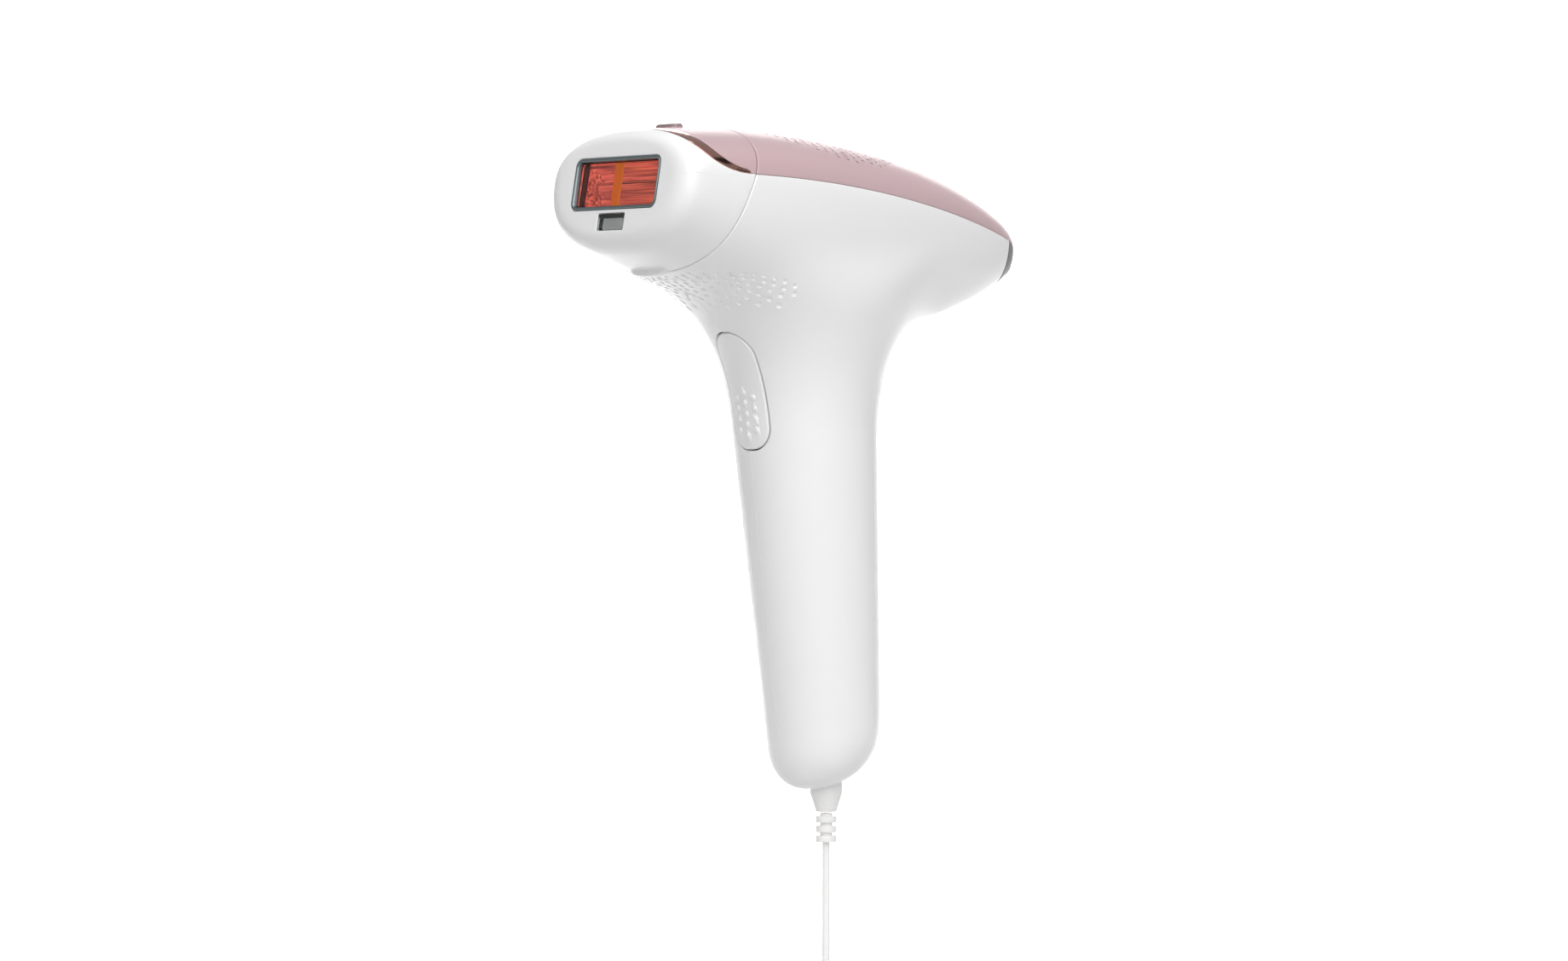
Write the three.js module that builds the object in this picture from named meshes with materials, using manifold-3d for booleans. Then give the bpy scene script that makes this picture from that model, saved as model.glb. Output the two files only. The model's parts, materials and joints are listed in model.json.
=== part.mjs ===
// A corded light-based hair remover: a handset with a slide-on treatment attachment, a sprung trigger, a fan
// and a flash lamp inside, and a low-voltage cord that ends in a plug-in adapter.
// Millimetres, +Z up the handle, -Y towards the light window, X across. The origin is on the handle's axis,
// in the middle of the grip.

import * as THREE from 'three';
import { mergeVertices } from 'three/addons/utils/BufferGeometryUtils.js';
import Module from 'manifold-3d';

const wasm = await Module();
wasm.setup();

// ---------------------------------------------------------------- driving dimensions

const WALL = 2.2;
const GAP = 0.3;
const INSIDE = WALL + 0.5;
const DEGREE = Math.PI / 180;

// The head, by sections FIRST_Y, FIRST_Y + STEP_Y and so on, that a rounded tail closes.
const HEAD = {
  firstY: -80,
  stepY: 40,
  halfWidth: [33.8, 34.6, 31.7, 27.3, 21.1],
  ridge: [118.3, 119.8, 117.2, 112.9, 104.8],
  keel: [84.4, 67.9, 58.2, 55.7, 60.9],
  widestFront: 104.6,
  widestBack: 85.6,
  squareness: 2.37,
  taperStart: -27.7,
  taperPower: 1.9,
  tailY: 79.3,
};

// The handle: a leaning, tapering round column with a slanted foot.
const HANDLE = {
  middleZ: -20,
  radius: 19.54,
  flare: 3.9 / 80,
  middleY: 1.64,
  lean: -6.27 / 80,
  topZ: 66,
  topRounding: 8,
  footZ: -78.54,
  footY: 4,
  footSlope: 0.321,
  footRounding: 16.3,
};
const NECK_FILLET = 22.3;
const ROUGH_RADIUS = 25;

// The flat face that meets the skin, and the window in it.
const FACE = { y: -75.04, z: 101.8, pitch: 10 * DEGREE, edge: 6, skim: 0.05 };
const WINDOW = { rise: 0.84, halfWidth: 19.1, halfHeight: 6.73, frame: 1.2, corner: 1.6 };
const SENSOR = { halfWidth: 6.4, top: -9.05, bottom: -14.25, depth: 2.3 };

// Where the attachment parts from the handset, and where the coloured top meets the white body.
const PARTING = { y: -51.5, z: 98.6, tilt: 22.9 * DEGREE };
const SPLIT = { z: 104.9, y: -62, drop: 0.0009 };
const TRIM_LOWER = { y: -50, z: 117, length: 18.6, height: 12.1 };
const TRIM_UPPER = { y: -49, z: 117.5, length: 14.8, height: 11.6 };
const REAR_PANEL = { y: 71.6, z: 85, slope: 0.25 };

// The trigger on the front of the handle.
const TRIGGER = {
  halfWidth: 8.2, top: 58.6, bottom: 23.6, corner: 7, gap: 0.45, pivotY: -25.3, pivotZ: 55.5,
};

// The socket and plug under the handle, and the surface that the spare cord and its adapter lie on.
const PLUG = {
  y: 6.2, topZ: -73, bodyEnd: -80.5, bodyRadius: 4.9, taperEnd: -86.2, ringRadius: 3.1, endZ: -95.4,
};
const CORD = { radius: 1.15, surfaceZ: -168 };
const COIL = { y: 48, inner: 12.8, outer: 23.4, height: 9.5, tie: 0.7 };
const ADAPTER = { front: -56, back: -5, halfWidth: 20, height: 26, wall: 2 };
const ADAPTER_PIN = { radius: 2, length: 19, spread: 9.5, rise: 8 };
const ADAPTER_EXIT = { x: -12, rise: 5, reach: 11 };

// ---------------------------------------------------------------- materials

function surface(color, roughness, metalness = 0) {
  return new THREE.MeshStandardMaterial({ color, roughness, metalness });
}

const glossWhite = () => surface(0xf4f3f4, 0.28);
const pearlPink = () => surface(0xd5bcbf, 0.32);
const roseGold = () => surface(0xd9a79a, 0.18, 0.9);
const darkGrey = () => surface(0x737171, 0.45);
const blackPlastic = () => surface(0x2a2a2c, 0.55);
const paleGrey = () => surface(0xc9c9cb, 0.5);
const steel = () => surface(0xb8bcc0, 0.3, 1);
const mirrorMetal = () => surface(0xe2e4e6, 0.08, 1);
const gold = () => surface(0xd8b45a, 0.3, 1);
const clearGlass = () => surface(0xe8f2f4, 0.05);
const redGlass = () => surface(0xc5503f, 0.06);
const circuitGreen = () => surface(0x2e5c3a, 0.6);
const copperWire = () => surface(0xb23a2e, 0.5);
const cordWhite = () => surface(0xf1efed, 0.5);

// ---------------------------------------------------------------- body surface

function softMin(a, b, size) {
  const overlap = Math.max(size - Math.abs(a - b), 0) / size;
  return Math.min(a, b) - (overlap * overlap * size) / 4;
}

function softMax(a, b, size) {
  return -softMin(-a, -b, size);
}

// A smooth curve through evenly spaced values, straight beyond both ends.
function along(values, y) {
  const last = values.length - 1;
  const place = (y - HEAD.firstY) / HEAD.stepY;
  const inside = Math.min(Math.max(place, 0), last);
  const index = Math.min(Math.floor(inside), last - 1);
  const t = inside - index;
  const before = index > 0 ? values[index - 1] : 2 * values[0] - values[1];
  const after = index + 2 <= last ? values[index + 2] : 2 * values[last] - values[last - 1];
  const from = values[index];
  const to = values[index + 1];
  const linear = to - before;
  const square = 2 * before - 5 * from + 4 * to - after;
  const cube = 3 * from - before - 3 * to + after;
  const curve = 0.5 * (2 * from + linear * t + square * t * t + cube * t * t * t);
  const beyondFront = Math.min(place, 0) * (values[1] - values[0]);
  const beyondBack = Math.max(place - last, 0) * (values[last] - values[last - 1]);
  return curve + beyondFront + beyondBack;
}

// Each field is below zero inside and about a distance in millimetres near its surface.
function headField(x, y, z) {
  const reach = HEAD.stepY * (HEAD.halfWidth.length - 1);
  const widestZ = HEAD.widestFront + ((HEAD.widestBack - HEAD.widestFront) * (y - HEAD.firstY)) / reach;
  const halfWidth = Math.max(along(HEAD.halfWidth, y), 3);
  const span = z > widestZ ? along(HEAD.ridge, y) - widestZ : widestZ - along(HEAD.keel, y);
  const height = Math.max(span, 3);
  const tail = Math.max(0, (y - HEAD.taperStart) / (HEAD.tailY - HEAD.taperStart));
  const sum = (Math.abs(x) / halfWidth) ** HEAD.squareness
    + (Math.abs(z - widestZ) / height) ** HEAD.squareness
    + tail ** HEAD.taperPower;
  return (sum ** (1 / HEAD.squareness) - 1) * ROUGH_RADIUS;
}

function handleAxisY(z) {
  return HANDLE.middleY + HANDLE.lean * (z - HANDLE.middleZ);
}

function handleField(x, y, z) {
  const radius = HANDLE.radius + HANDLE.flare * (z - HANDLE.middleZ);
  const column = Math.hypot(x, y - handleAxisY(z)) - radius;
  const capped = softMax(column, z - HANDLE.topZ, HANDLE.topRounding);
  const foot = (HANDLE.footZ + HANDLE.footSlope * (y - HANDLE.footY) - z) / Math.hypot(1, HANDLE.footSlope);
  return softMax(capped, foot, HANDLE.footRounding);
}

function bodyField(x, y, z) {
  const hull = softMin(headField(x, y, z), handleField(x, y, z), NECK_FILLET);
  const ahead = (y - FACE.y) * -Math.cos(FACE.pitch) + (z - FACE.z) * Math.sin(FACE.pitch);
  return softMax(hull, ahead, FACE.edge);
}

// The first point of the body's surface along a ray, with the surface's normal there.
function castRay(origin, direction) {
  const at = (t) => origin.clone().addScaledVector(direction, t);
  const value = (t) => bodyField(...at(t).toArray());
  let near = 0;
  let far = 4;
  while (value(far) < 0) {
    near = far;
    far += 4;
  }
  for (let step = 0; step < 24; step += 1) {
    const middle = (near + far) / 2;
    if (value(middle) < 0) near = middle;
    else far = middle;
  }
  const point = at(far);
  const slope = (dx, dy, dz) => bodyField(point.x + dx, point.y + dy, point.z + dz)
    - bodyField(point.x - dx, point.y - dy, point.z - dz);
  const normal = new THREE.Vector3(slope(0.01, 0, 0), slope(0, 0.01, 0), slope(0, 0, 0.01)).normalize();
  return { point, normal };
}

// Rays leave the middle of the head over a long dome, then swing level down the handle
// and close under its foot.
// The rays are closest together, in both directions, round the edge of the flat face.
const DOME = { x: 32, y: 77, z: 28, centreZ: 92 };
const DOME_ANGLES = [78, 66, 55, 48, 44, 40, 36, 30, 20, 8, -4, -11, -16, -21, -27, -35, -45];
const HALF_TURN = [0, 12, 24, 33, 38, 42, 45, 48, 52, 59, 70, 84, 100, 118, 136, 152, 165, 174, 180];
const TURNS = [...HALF_TURN, ...HALF_TURN.slice(1, -1).reverse().map((angle) => -angle)];
const COLUMNS = TURNS.length;
const SWING_ROWS = 6;
const COLUMN_ROWS = 4;
const FOOT_ROWS = 4;
const SWING_END_Z = 30;
const COLUMN_END_Z = -56;

function rayRows() {
  const rows = DOME_ANGLES.map((degrees) => ({
    z: DOME.centreZ,
    x: DOME.x * Math.cos(degrees * DEGREE),
    y: DOME.y * Math.cos(degrees * DEGREE),
    rise: DOME.z * Math.sin(degrees * DEGREE),
  }));
  const last = rows[rows.length - 1];
  for (let row = 1; row <= SWING_ROWS; row += 1) {
    const t = row / SWING_ROWS;
    rows.push({
      z: THREE.MathUtils.lerp(last.z, SWING_END_Z, t),
      x: THREE.MathUtils.lerp(last.x, 30, t),
      y: THREE.MathUtils.lerp(last.y, 30, t),
      rise: THREE.MathUtils.lerp(last.rise, 0, t),
    });
  }
  for (let row = 1; row <= COLUMN_ROWS; row += 1) {
    const z = THREE.MathUtils.lerp(SWING_END_Z, COLUMN_END_Z, row / COLUMN_ROWS);
    rows.push({ z, x: 1, y: 1, rise: 0 });
  }
  for (let row = 1; row <= FOOT_ROWS; row += 1) {
    const angle = (-90 * row) / (FOOT_ROWS + 1) * DEGREE;
    rows.push({ z: COLUMN_END_Z, x: Math.cos(angle), y: Math.cos(angle), rise: Math.sin(angle) });
  }
  return rows;
}

function traceBody() {
  const middle = (z) => new THREE.Vector3(0, z > SWING_END_Z ? 0 : handleAxisY(z), z);
  const hits = [castRay(middle(DOME.centreZ), new THREE.Vector3(0, 0, 1))];
  const rows = rayRows();
  for (const row of rows) {
    for (const degrees of TURNS) {
      const turn = degrees * DEGREE;
      const direction = new THREE.Vector3(row.x * Math.sin(turn), -row.y * Math.cos(turn), row.rise);
      hits.push(castRay(middle(row.z), direction.normalize()));
    }
  }
  hits.push(castRay(middle(COLUMN_END_Z), new THREE.Vector3(0, 0, -1)));
  return { hits, rowCount: rows.length };
}

const body = traceBody();

// The body's solid with its surface moved in by an inset (or out, where the inset is negative).
function bodySolid(inset) {
  const moved = ({ point, normal }) => point.clone().addScaledVector(normal, -inset).toArray();
  const positions = body.hits.flatMap(moved);
  const index = [];
  const at = (row, column) => 1 + row * COLUMNS + (column % COLUMNS);
  const bottom = body.hits.length - 1;
  for (let column = 0; column < COLUMNS; column += 1) {
    index.push(0, at(0, column), at(0, column + 1));
    for (let row = 0; row < body.rowCount - 1; row += 1) {
      const corners = [at(row, column), at(row + 1, column), at(row + 1, column + 1), at(row, column + 1)];
      if (column >= COLUMNS / 2) corners.push(corners.shift());
      const [a, b, c, d] = corners;
      index.push(a, b, c, a, c, d);
    }
    index.push(at(body.rowCount - 1, column), bottom, at(body.rowCount - 1, column + 1));
  }
  const geometry = new THREE.BufferGeometry();
  geometry.setAttribute('position', new THREE.Float32BufferAttribute(positions, 3));
  geometry.setIndex(index);
  return solidOf(geometry);
}

// ---------------------------------------------------------------- solids

function solidOf(geometry) {
  const bare = geometry.clone();
  bare.deleteAttribute('normal');
  bare.deleteAttribute('uv');
  const merged = mergeVertices(bare, 1e-5);
  const vertProperties = new Float32Array(merged.attributes.position.array);
  const triVerts = new Uint32Array(merged.index.array);
  return new wasm.Manifold(new wasm.Mesh({ numProp: 3, vertProperties, triVerts }));
}

function geometryOf(solid) {
  const mesh = solid.getMesh();
  const geometry = new THREE.BufferGeometry();
  geometry.setAttribute('position', new THREE.BufferAttribute(new Float32Array(mesh.vertProperties), 3));
  geometry.setIndex(new THREE.BufferAttribute(new Uint32Array(mesh.triVerts), 1));
  const flat = geometry.toNonIndexed();
  flat.computeVertexNormals();
  return flat;
}

function moved(geometry, x, y, z) {
  return geometry.translate(x, y, z);
}

// A box between two corners.
function block(low, high) {
  const size = high.map((value, axis) => value - low[axis]);
  const centre = high.map((value, axis) => (value + low[axis]) / 2);
  return moved(new THREE.BoxGeometry(...size), ...centre);
}

// A round bar between two places on a line along X, Y or Z.
function rod(axis, radius, from, to, [x, y, z], sides = 18) {
  const geometry = new THREE.CylinderGeometry(radius, radius, to - from, sides);
  const middle = (from + to) / 2;
  if (axis === 'x') return moved(geometry.rotateZ(Math.PI / 2), middle, y, z);
  if (axis === 'y') return moved(geometry, x, middle, z);
  return moved(geometry.rotateX(Math.PI / 2), x, y, middle);
}

function roundedRectangle(halfWidth, halfHeight, corner, centreY = 0) {
  const shape = new THREE.Shape();
  const [right, top] = [halfWidth - corner, halfHeight - corner];
  shape.absarc(right, centreY + top, corner, 0, Math.PI / 2);
  shape.absarc(-right, centreY + top, corner, Math.PI / 2, Math.PI);
  shape.absarc(-right, centreY - top, corner, Math.PI, 1.5 * Math.PI);
  shape.absarc(right, centreY - top, corner, 1.5 * Math.PI, 2 * Math.PI);
  return shape;
}

// An outline in X and Z, as seen from the front, pushed through from one Y to another.
function frontPrism(shape, fromY, toY, curveSegments = 3) {
  const options = { depth: toY - fromY, bevelEnabled: false, curveSegments };
  const geometry = new THREE.ExtrudeGeometry(shape, options);
  return geometry.rotateX(Math.PI / 2).translate(0, toY, 0);
}

// An outline in Y and Z, as seen from the side, pushed through across X.
function sidePrism(shape, halfWidth = 60, curveSegments = 6) {
  const options = { depth: 2 * halfWidth, bevelEnabled: false, curveSegments };
  const geometry = new THREE.ExtrudeGeometry(shape, options);
  return geometry.translate(0, 0, -halfWidth).rotateY(Math.PI / 2).rotateX(Math.PI / 2);
}

function polygon(points) {
  return new THREE.Shape(points.map(([a, b]) => new THREE.Vector2(a, b)));
}

// A round tube along a smooth route.
function tube(points, radius, steps, sides = 8) {
  const stops = points.map((point) => new THREE.Vector3(...point));
  const curve = new THREE.CatmullRomCurve3(stops, false, 'centripetal');
  const outline = new THREE.Shape();
  for (let side = 0; side < sides; side += 1) {
    const turn = (2 * Math.PI * side) / sides;
    const corner = [radius * Math.cos(turn), radius * Math.sin(turn)];
    if (side === 0) outline.moveTo(...corner);
    else outline.lineTo(...corner);
  }
  outline.closePath();
  return new THREE.ExtrudeGeometry(outline, { steps, bevelEnabled: false, extrudePath: curve });
}

// A turned piece on the Z axis, from a profile of radius and height.
function turned(profile, segments = 20) {
  const points = profile.map(([radius, height]) => new THREE.Vector2(radius, height));
  return new THREE.LatheGeometry(points, segments).rotateX(Math.PI / 2);
}

function join(...solids) {
  return solids.reduce((sum, next) => sum.add(next));
}

function cut(solid, ...cutters) {
  return cutters.reduce((left, cutter) => left.subtract(cutter), solid);
}

// ---------------------------------------------------------------- frames of reference

function placedGroup(x, y, z, tilt) {
  const group = new THREE.Group();
  group.position.set(x, y, z);
  group.rotation.x = tilt;
  group.updateMatrixWorld(true);
  return group;
}

// On the face's window centre, Y straight in, Z up the face.
const windowY = FACE.y + WINDOW.rise * Math.sin(FACE.pitch);
const windowZ = FACE.z + WINDOW.rise * Math.cos(FACE.pitch);
const nose = placedGroup(0, windowY, windowZ, -FACE.pitch);
// On the parting plane, Y straight back from it.
const seam = placedGroup(0, PARTING.y, PARTING.z, -PARTING.tilt);
// On the handle's axis, Z along it.
const grip = placedGroup(0, HANDLE.middleY, HANDLE.middleZ, Math.atan(-HANDLE.lean));
// On the tail's lower slope, Y straight out of it.
const tail = placedGroup(0, 76, 80.5, -32 * DEGREE);

function inFrame(geometry, group) {
  return solidOf(geometry.applyMatrix4(group.matrixWorld));
}

// ---------------------------------------------------------------- regions of the body

function partingY(z) {
  return PARTING.y + (z - PARTING.z) * Math.tan(PARTING.tilt);
}

function splitZ(y) {
  return SPLIT.z - SPLIT.drop * (y - SPLIT.y) ** 2;
}

function aheadOfParting() {
  const back = (z) => partingY(z) - GAP;
  return solidOf(sidePrism(polygon([[-110, 40], [back(40), 40], [back(140), 140], [-110, 140]])));
}

function behindParting() {
  const front = (z) => partingY(z) + GAP;
  return solidOf(sidePrism(polygon([[front(140), 140], [front(-100), -100], [110, -100], [110, 140]])));
}

// Everything above the curve where the coloured top meets the white body, raised by a clearance.
function aboveSplit(clearance) {
  const points = [[90, 140], [-70, 140]];
  for (let y = -70; y <= 90; y += 10) points.push([y, splitZ(y) + clearance]);
  return solidOf(sidePrism(polygon(points)));
}

// Everything above and behind one edge of the trim, grown by a clearance.
function insideTrimEdge(edge, clearance) {
  const shape = new THREE.Shape();
  const front = edge.y - edge.length - clearance;
  shape.moveTo(-20, 140);
  shape.lineTo(front, 140);
  shape.lineTo(front, edge.z);
  shape.absellipse(edge.y, edge.z, edge.length + clearance, edge.height + clearance, Math.PI, 1.5 * Math.PI);
  shape.lineTo(-20, edge.z - edge.height - clearance);
  return solidOf(sidePrism(shape));
}

function rearPanelRegion(clearance) {
  const front = (z) => REAR_PANEL.y + REAR_PANEL.slope * (z - REAR_PANEL.z) - clearance;
  return solidOf(sidePrism(polygon([[front(60), 60], [100, 60], [100, 110], [front(110), 110]])));
}

function triggerOutline(clearance) {
  const centre = (TRIGGER.top + TRIGGER.bottom) / 2;
  const halfHeight = (TRIGGER.top - TRIGGER.bottom) / 2 + clearance;
  return roundedRectangle(TRIGGER.halfWidth + clearance, halfHeight, TRIGGER.corner + clearance, centre);
}

function windowOutline(clearance) {
  const corner = WINDOW.corner + clearance;
  return roundedRectangle(WINDOW.halfWidth + clearance, WINDOW.halfHeight + clearance, corner);
}

function sensorOutline(clearance) {
  const centre = (SENSOR.top + SENSOR.bottom) / 2;
  const halfHeight = (SENSOR.top - SENSOR.bottom) / 2 + clearance;
  return roundedRectangle(SENSOR.halfWidth + clearance, halfHeight, 0.8, centre);
}

const outerBody = bodySolid(0);
const innerBody = bodySolid(WALL);
const looseInside = bodySolid(INSIDE);
const skin = outerBody.subtract(innerBody);

// ---------------------------------------------------------------- the model

const hairRemover = new THREE.Group();
hairRemover.add(nose, seam, grip, tail);

function add(name, shape, material, group = hairRemover) {
  const geometry = shape instanceof wasm.Manifold ? geometryOf(shape) : shape;
  const mesh = new THREE.Mesh(geometry, material);
  mesh.name = name;
  group.add(mesh);
}

// ---- handset casing

function addHandsetShells() {
  const white = cut(
    skin.intersect(behindParting()),
    aboveSplit(-GAP / 2),
    rearPanelRegion(GAP),
    solidOf(frontPrism(triggerOutline(TRIGGER.gap), -60, -10)),
    solidOf(rod('z', PLUG.bodyRadius + 0.5, -90, -60, [0, PLUG.y, 0])),
  );
  const half = (low, high) => solidOf(block([low, -120, -120], [high, 120, 150]));
  add('shell_left', white.intersect(half(-60, -GAP / 2)), glossWhite());
  add('shell_right', white.intersect(half(GAP / 2, 60)), glossWhite());
  add('top_cover', skin.intersect(behindParting()).intersect(aboveSplit(GAP / 2)), pearlPink());
}

function addRearPanel() {
  const ring = skin.intersect(rearPanelRegion(0)).subtract(aboveSplit(-GAP / 2));
  const buttonHole = inFrame(buttonBarrel(4.7, 3.4, -10, 10), tail);
  add('rear_panel', cut(ring, buttonHole, lightWindows(0.3)), darkGrey());
}

// An oval bar along the tail's slope axis.
function buttonBarrel(halfWidth, halfHeight, fromY, toY) {
  const shape = new THREE.Shape();
  shape.absellipse(0, 0, halfWidth, halfHeight, 0, 2 * Math.PI);
  return frontPrism(shape, fromY, toY, 10);
}

// Five small light bars in a row above the button.
function lightWindows(clearance) {
  const half = 0.6 + clearance;
  const bars = [-2, -1, 0, 1, 2].map((place) => {
    const x = place * 2;
    return solidOf(block([x - half, 72.2, 86.2 - half], [x + half, 90, 86.2 + half]));
  });
  return join(...bars);
}

function addPowerButton() {
  const barrel = inFrame(buttonBarrel(4.3, 3, -3.2, 8), tail);
  const proud = bodySolid(-0.7);
  add('power_button', barrel.intersect(proud), paleGrey());
  add('power_switch', block([-3, -6.2, -1.8], [3, -4.6, 1.8]), blackPlastic(), tail);
  add('button_board', block([-4.8, -8.3, -3], [4.8, -6.7, 3]), circuitGreen(), tail);
}

function addLightGuide() {
  const strip = solidOf(block([-4.8, 72.2, 85.5], [4.8, 73, 86.9]));
  add('intensity_light_guide', join(lightWindows(0), strip).intersect(bodySolid(0.05)), clearGlass());
}

// ---- trigger

function addTrigger() {
  const outline = solidOf(frontPrism(triggerOutline(0), -60, -10));
  const lug = solidOf(block([-3.3, -30.5, 52.4], [3.3, -24, 57.4]));
  const stem = solidOf(block([-2.5, -26, 27], [2.5, -18.6, 33]));
  const pinHole = solidOf(rod('x', 1.5, -20, 20, [0, TRIGGER.pivotY, TRIGGER.pivotZ]));
  const pieces = join(skin.intersect(outline), lug.intersect(bodySolid(1)), stem.intersect(bodySolid(1)));
  add('flash_trigger', pieces.subtract(pinHole), glossWhite());
  add('trigger_pin', rod('x', 1.1, -8.9, 8.9, [0, TRIGGER.pivotY, TRIGGER.pivotZ]), steel());
}

// A bracket across the neck, with an ear on each side for the pin and a shelf for the switch.
function addTriggerBracket() {
  const plate = block([-9, -11.5, 24], [9, -9.5, 60]);
  const ear = (side) => block([side * 7.3 - 1.5, -28, 52.6], [side * 7.3 + 1.5, -11, 58]);
  const pinHole = solidOf(rod('x', 1.4, -20, 20, [0, TRIGGER.pivotY, TRIGGER.pivotZ]));
  const bracket = join(solidOf(plate), solidOf(ear(-1)), solidOf(ear(1)));
  add('trigger_bracket', bracket.intersect(looseInside).subtract(pinHole), paleGrey());
}

function addTriggerSwitch() {
  const box = solidOf(block([-4, -16.2, 26.6], [4, -11.8, 33.4]));
  const well = solidOf(block([-1.6, -20, 28.6], [1.6, -13.5, 31.4]));
  add('trigger_switch', box.subtract(well), blackPlastic());
  add('switch_plunger', block([-1.2, -18.2, 29], [1.2, -14.8, 31]), darkGrey());
}

// A torsion spring: one turn and a half round the pin, with a leg on the trigger and one on the bracket.
function addTriggerSpring() {
  const points = [[5.2, -12.2, 58.5], [5.2, -18, 58.3]];
  const steps = 13;
  for (let step = 0; step <= steps; step += 1) {
    const turn = (90 - (540 * step) / steps) * DEGREE;
    const x = 5.2 - step / steps;
    points.push([x, TRIGGER.pivotY + 2.2 * Math.cos(turn), TRIGGER.pivotZ + 2.2 * Math.sin(turn)]);
  }
  points.push([4.2, -25.6, 50]);
  add('trigger_spring', tube(points, 0.3, 44, 6), steel());
}

// ---- light engine in the nose

function addLampHousing() {
  const outer = solidOf(frontPrism(roundedRectangle(24.5, 9.3, 5), 4.3, 29));
  const inner = solidOf(frontPrism(roundedRectangle(23.2, 8.1, 3.8), 5.9, 40));
  const mouth = solidOf(frontPrism(roundedRectangle(19.5, 7.1, 1.6), 0, 10));
  add('lamp_housing', cut(outer, inner, mouth), blackPlastic(), nose);
}

function addReflector() {
  const outer = solidOf(block([-20.4, 6.2, -7.5], [20.4, 14.2, 7.5]));
  const inner = solidOf(block([-19.2, 0, -6.4], [19.2, 12.6, 6.4]));
  const lampHole = solidOf(rod('x', 2.7, -40, 40, [0, 9.2, 0], 14));
  add('reflector', cut(outer, inner, lampHole), mirrorMetal(), nose);
  add('flash_lamp', rod('x', 2.2, -20.6, 20.6, [0, 9.2, 0], 14), clearGlass(), nose);
  add('lamp_cap_left', rod('x', 2.6, -22.8, -20.9, [0, 9.2, 0], 14), steel(), nose);
  add('lamp_cap_right', rod('x', 2.6, 20.9, 22.8, [0, 9.2, 0], 14), steel(), nose);
}

function addFilterGlass() {
  add('filter_glass', frontPrism(windowOutline(-0.5), 1.3, 4), redGlass(), nose);
}

function addSkinSensor() {
  add('skin_sensor', block([-5.8, 3, -14.2], [5.8, 22, -10.2]), blackPlastic(), nose);
}

// ---- bulkheads at the parting

// A slice of the inside of the body, parallel to the parting, with a hole that the nose passes through.
function bulkhead(fromY, toY, clearance) {
  const slice = inFrame(block([-60, fromY, -60], [60, toY, 60]), seam);
  const reach = [24.5 + clearance, 80, 9.3 + clearance];
  const hole = inFrame(block([-reach[0], -20, -reach[2]], reach), nose);
  const sensorBlock = block([-5.8 - clearance, -20, -14.2 - clearance], [5.8 + clearance, 80, -9]);
  const sensorHole = inFrame(sensorBlock, nose);
  return cut(slice.intersect(looseInside), hole, sensorHole);
}

function addFrontBulkhead() {
  const screwHoles = [-1, 1].map((side) => inFrame(rod('y', 1.8, -5, 20, [side * 20, 0, -15.5]), seam));
  const contactHole = inFrame(block([-6, -1, -20.7], [6, 10, -16.9]), seam);
  add('front_bulkhead', cut(bulkhead(0.9, 3.3, 0.4), contactHole, ...screwHoles), paleGrey());
  for (const [side, name] of [[-1, 'front_screw_left'], [1, 'front_screw_right']]) {
    const head = solidOf(rod('y', 2.5, 0.1, 0.6, [side * 20, 0, -15.5]));
    const shank = solidOf(rod('y', 1.4, 0.5, 11, [side * 20, 0, -15.5]));
    add(name, join(head, shank), steel(), seam);
  }
}

function addContacts() {
  const holder = solidOf(block([-5.7, 1, -20.4], [5.7, 3.6, -17.2]));
  const pins = [-3.6, 0, 3.6].map((x) => solidOf(rod('y', 0.7, 0.2, 2, [x, 0, -18.8], 10)));
  add('contact_pins', join(holder, ...pins), gold(), seam);
  add('attachment_contacts', block([-5.7, -3.1, -20.4], [5.7, -0.7, -17.2]), gold(), seam);
}

// ---- cooling and electronics

function addFan() {
  const centre = [0, 0, 93];
  const frame = solidOf(block([-15, 3, 78], [15, 13, 108]));
  const bore = solidOf(rod('y', 13.7, -20, 30, centre, 24));
  const strut = (angle) => solidOf(block([-1, 11.2, -14], [1, 12.8, 14]).rotateY(angle).translate(0, 0, 93));
  add('fan_frame', join(frame.subtract(bore), strut(0.3), strut(0.3 + Math.PI / 2)), blackPlastic());
  const blade = (index) => {
    const vane = new THREE.BoxGeometry(9.4, 0.9, 5.4).translate(8.1, 0, 0).rotateX(40 * DEGREE);
    return solidOf(vane.rotateY((2 * Math.PI * index) / 7).translate(0, 6.7, 93));
  };
  const blades = Array.from({ length: 7 }, (_, index) => blade(index));
  add('fan_rotor', join(solidOf(rod('y', 4.8, 4, 10.6, centre)), ...blades), darkGrey());
}

function addAirDuct() {
  const outer = solidOf(block([-15, -42, 84], [15, 2.4, 106]));
  const inner = solidOf(block([-13.6, -60, 85.4], [13.6, 20, 104.6]));
  add('air_duct', outer.subtract(inner), paleGrey());
}

function addElectronics() {
  const terminals = [-5, 5].map((x) => solidOf(rod('z', 0.9, 19.8, 22.5, [x, 2.4, 0], 10)));
  const can = solidOf(rod('z', 12, -34, 20, [0, 2.4, 0], 24));
  add('flash_capacitor', join(can, ...terminals), blackPlastic(), grip);
  add('main_board', block([-8.4, -12, -34], [8.4, -10.4, 30]), circuitGreen(), grip);
  add('control_chip', block([-4, -13.6, 4], [4, -12.3, 12]), blackPlastic(), grip);
  add('igniter_coil', block([-7, -36, 70], [7, -22, 83.7]), darkGrey());
}

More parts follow.
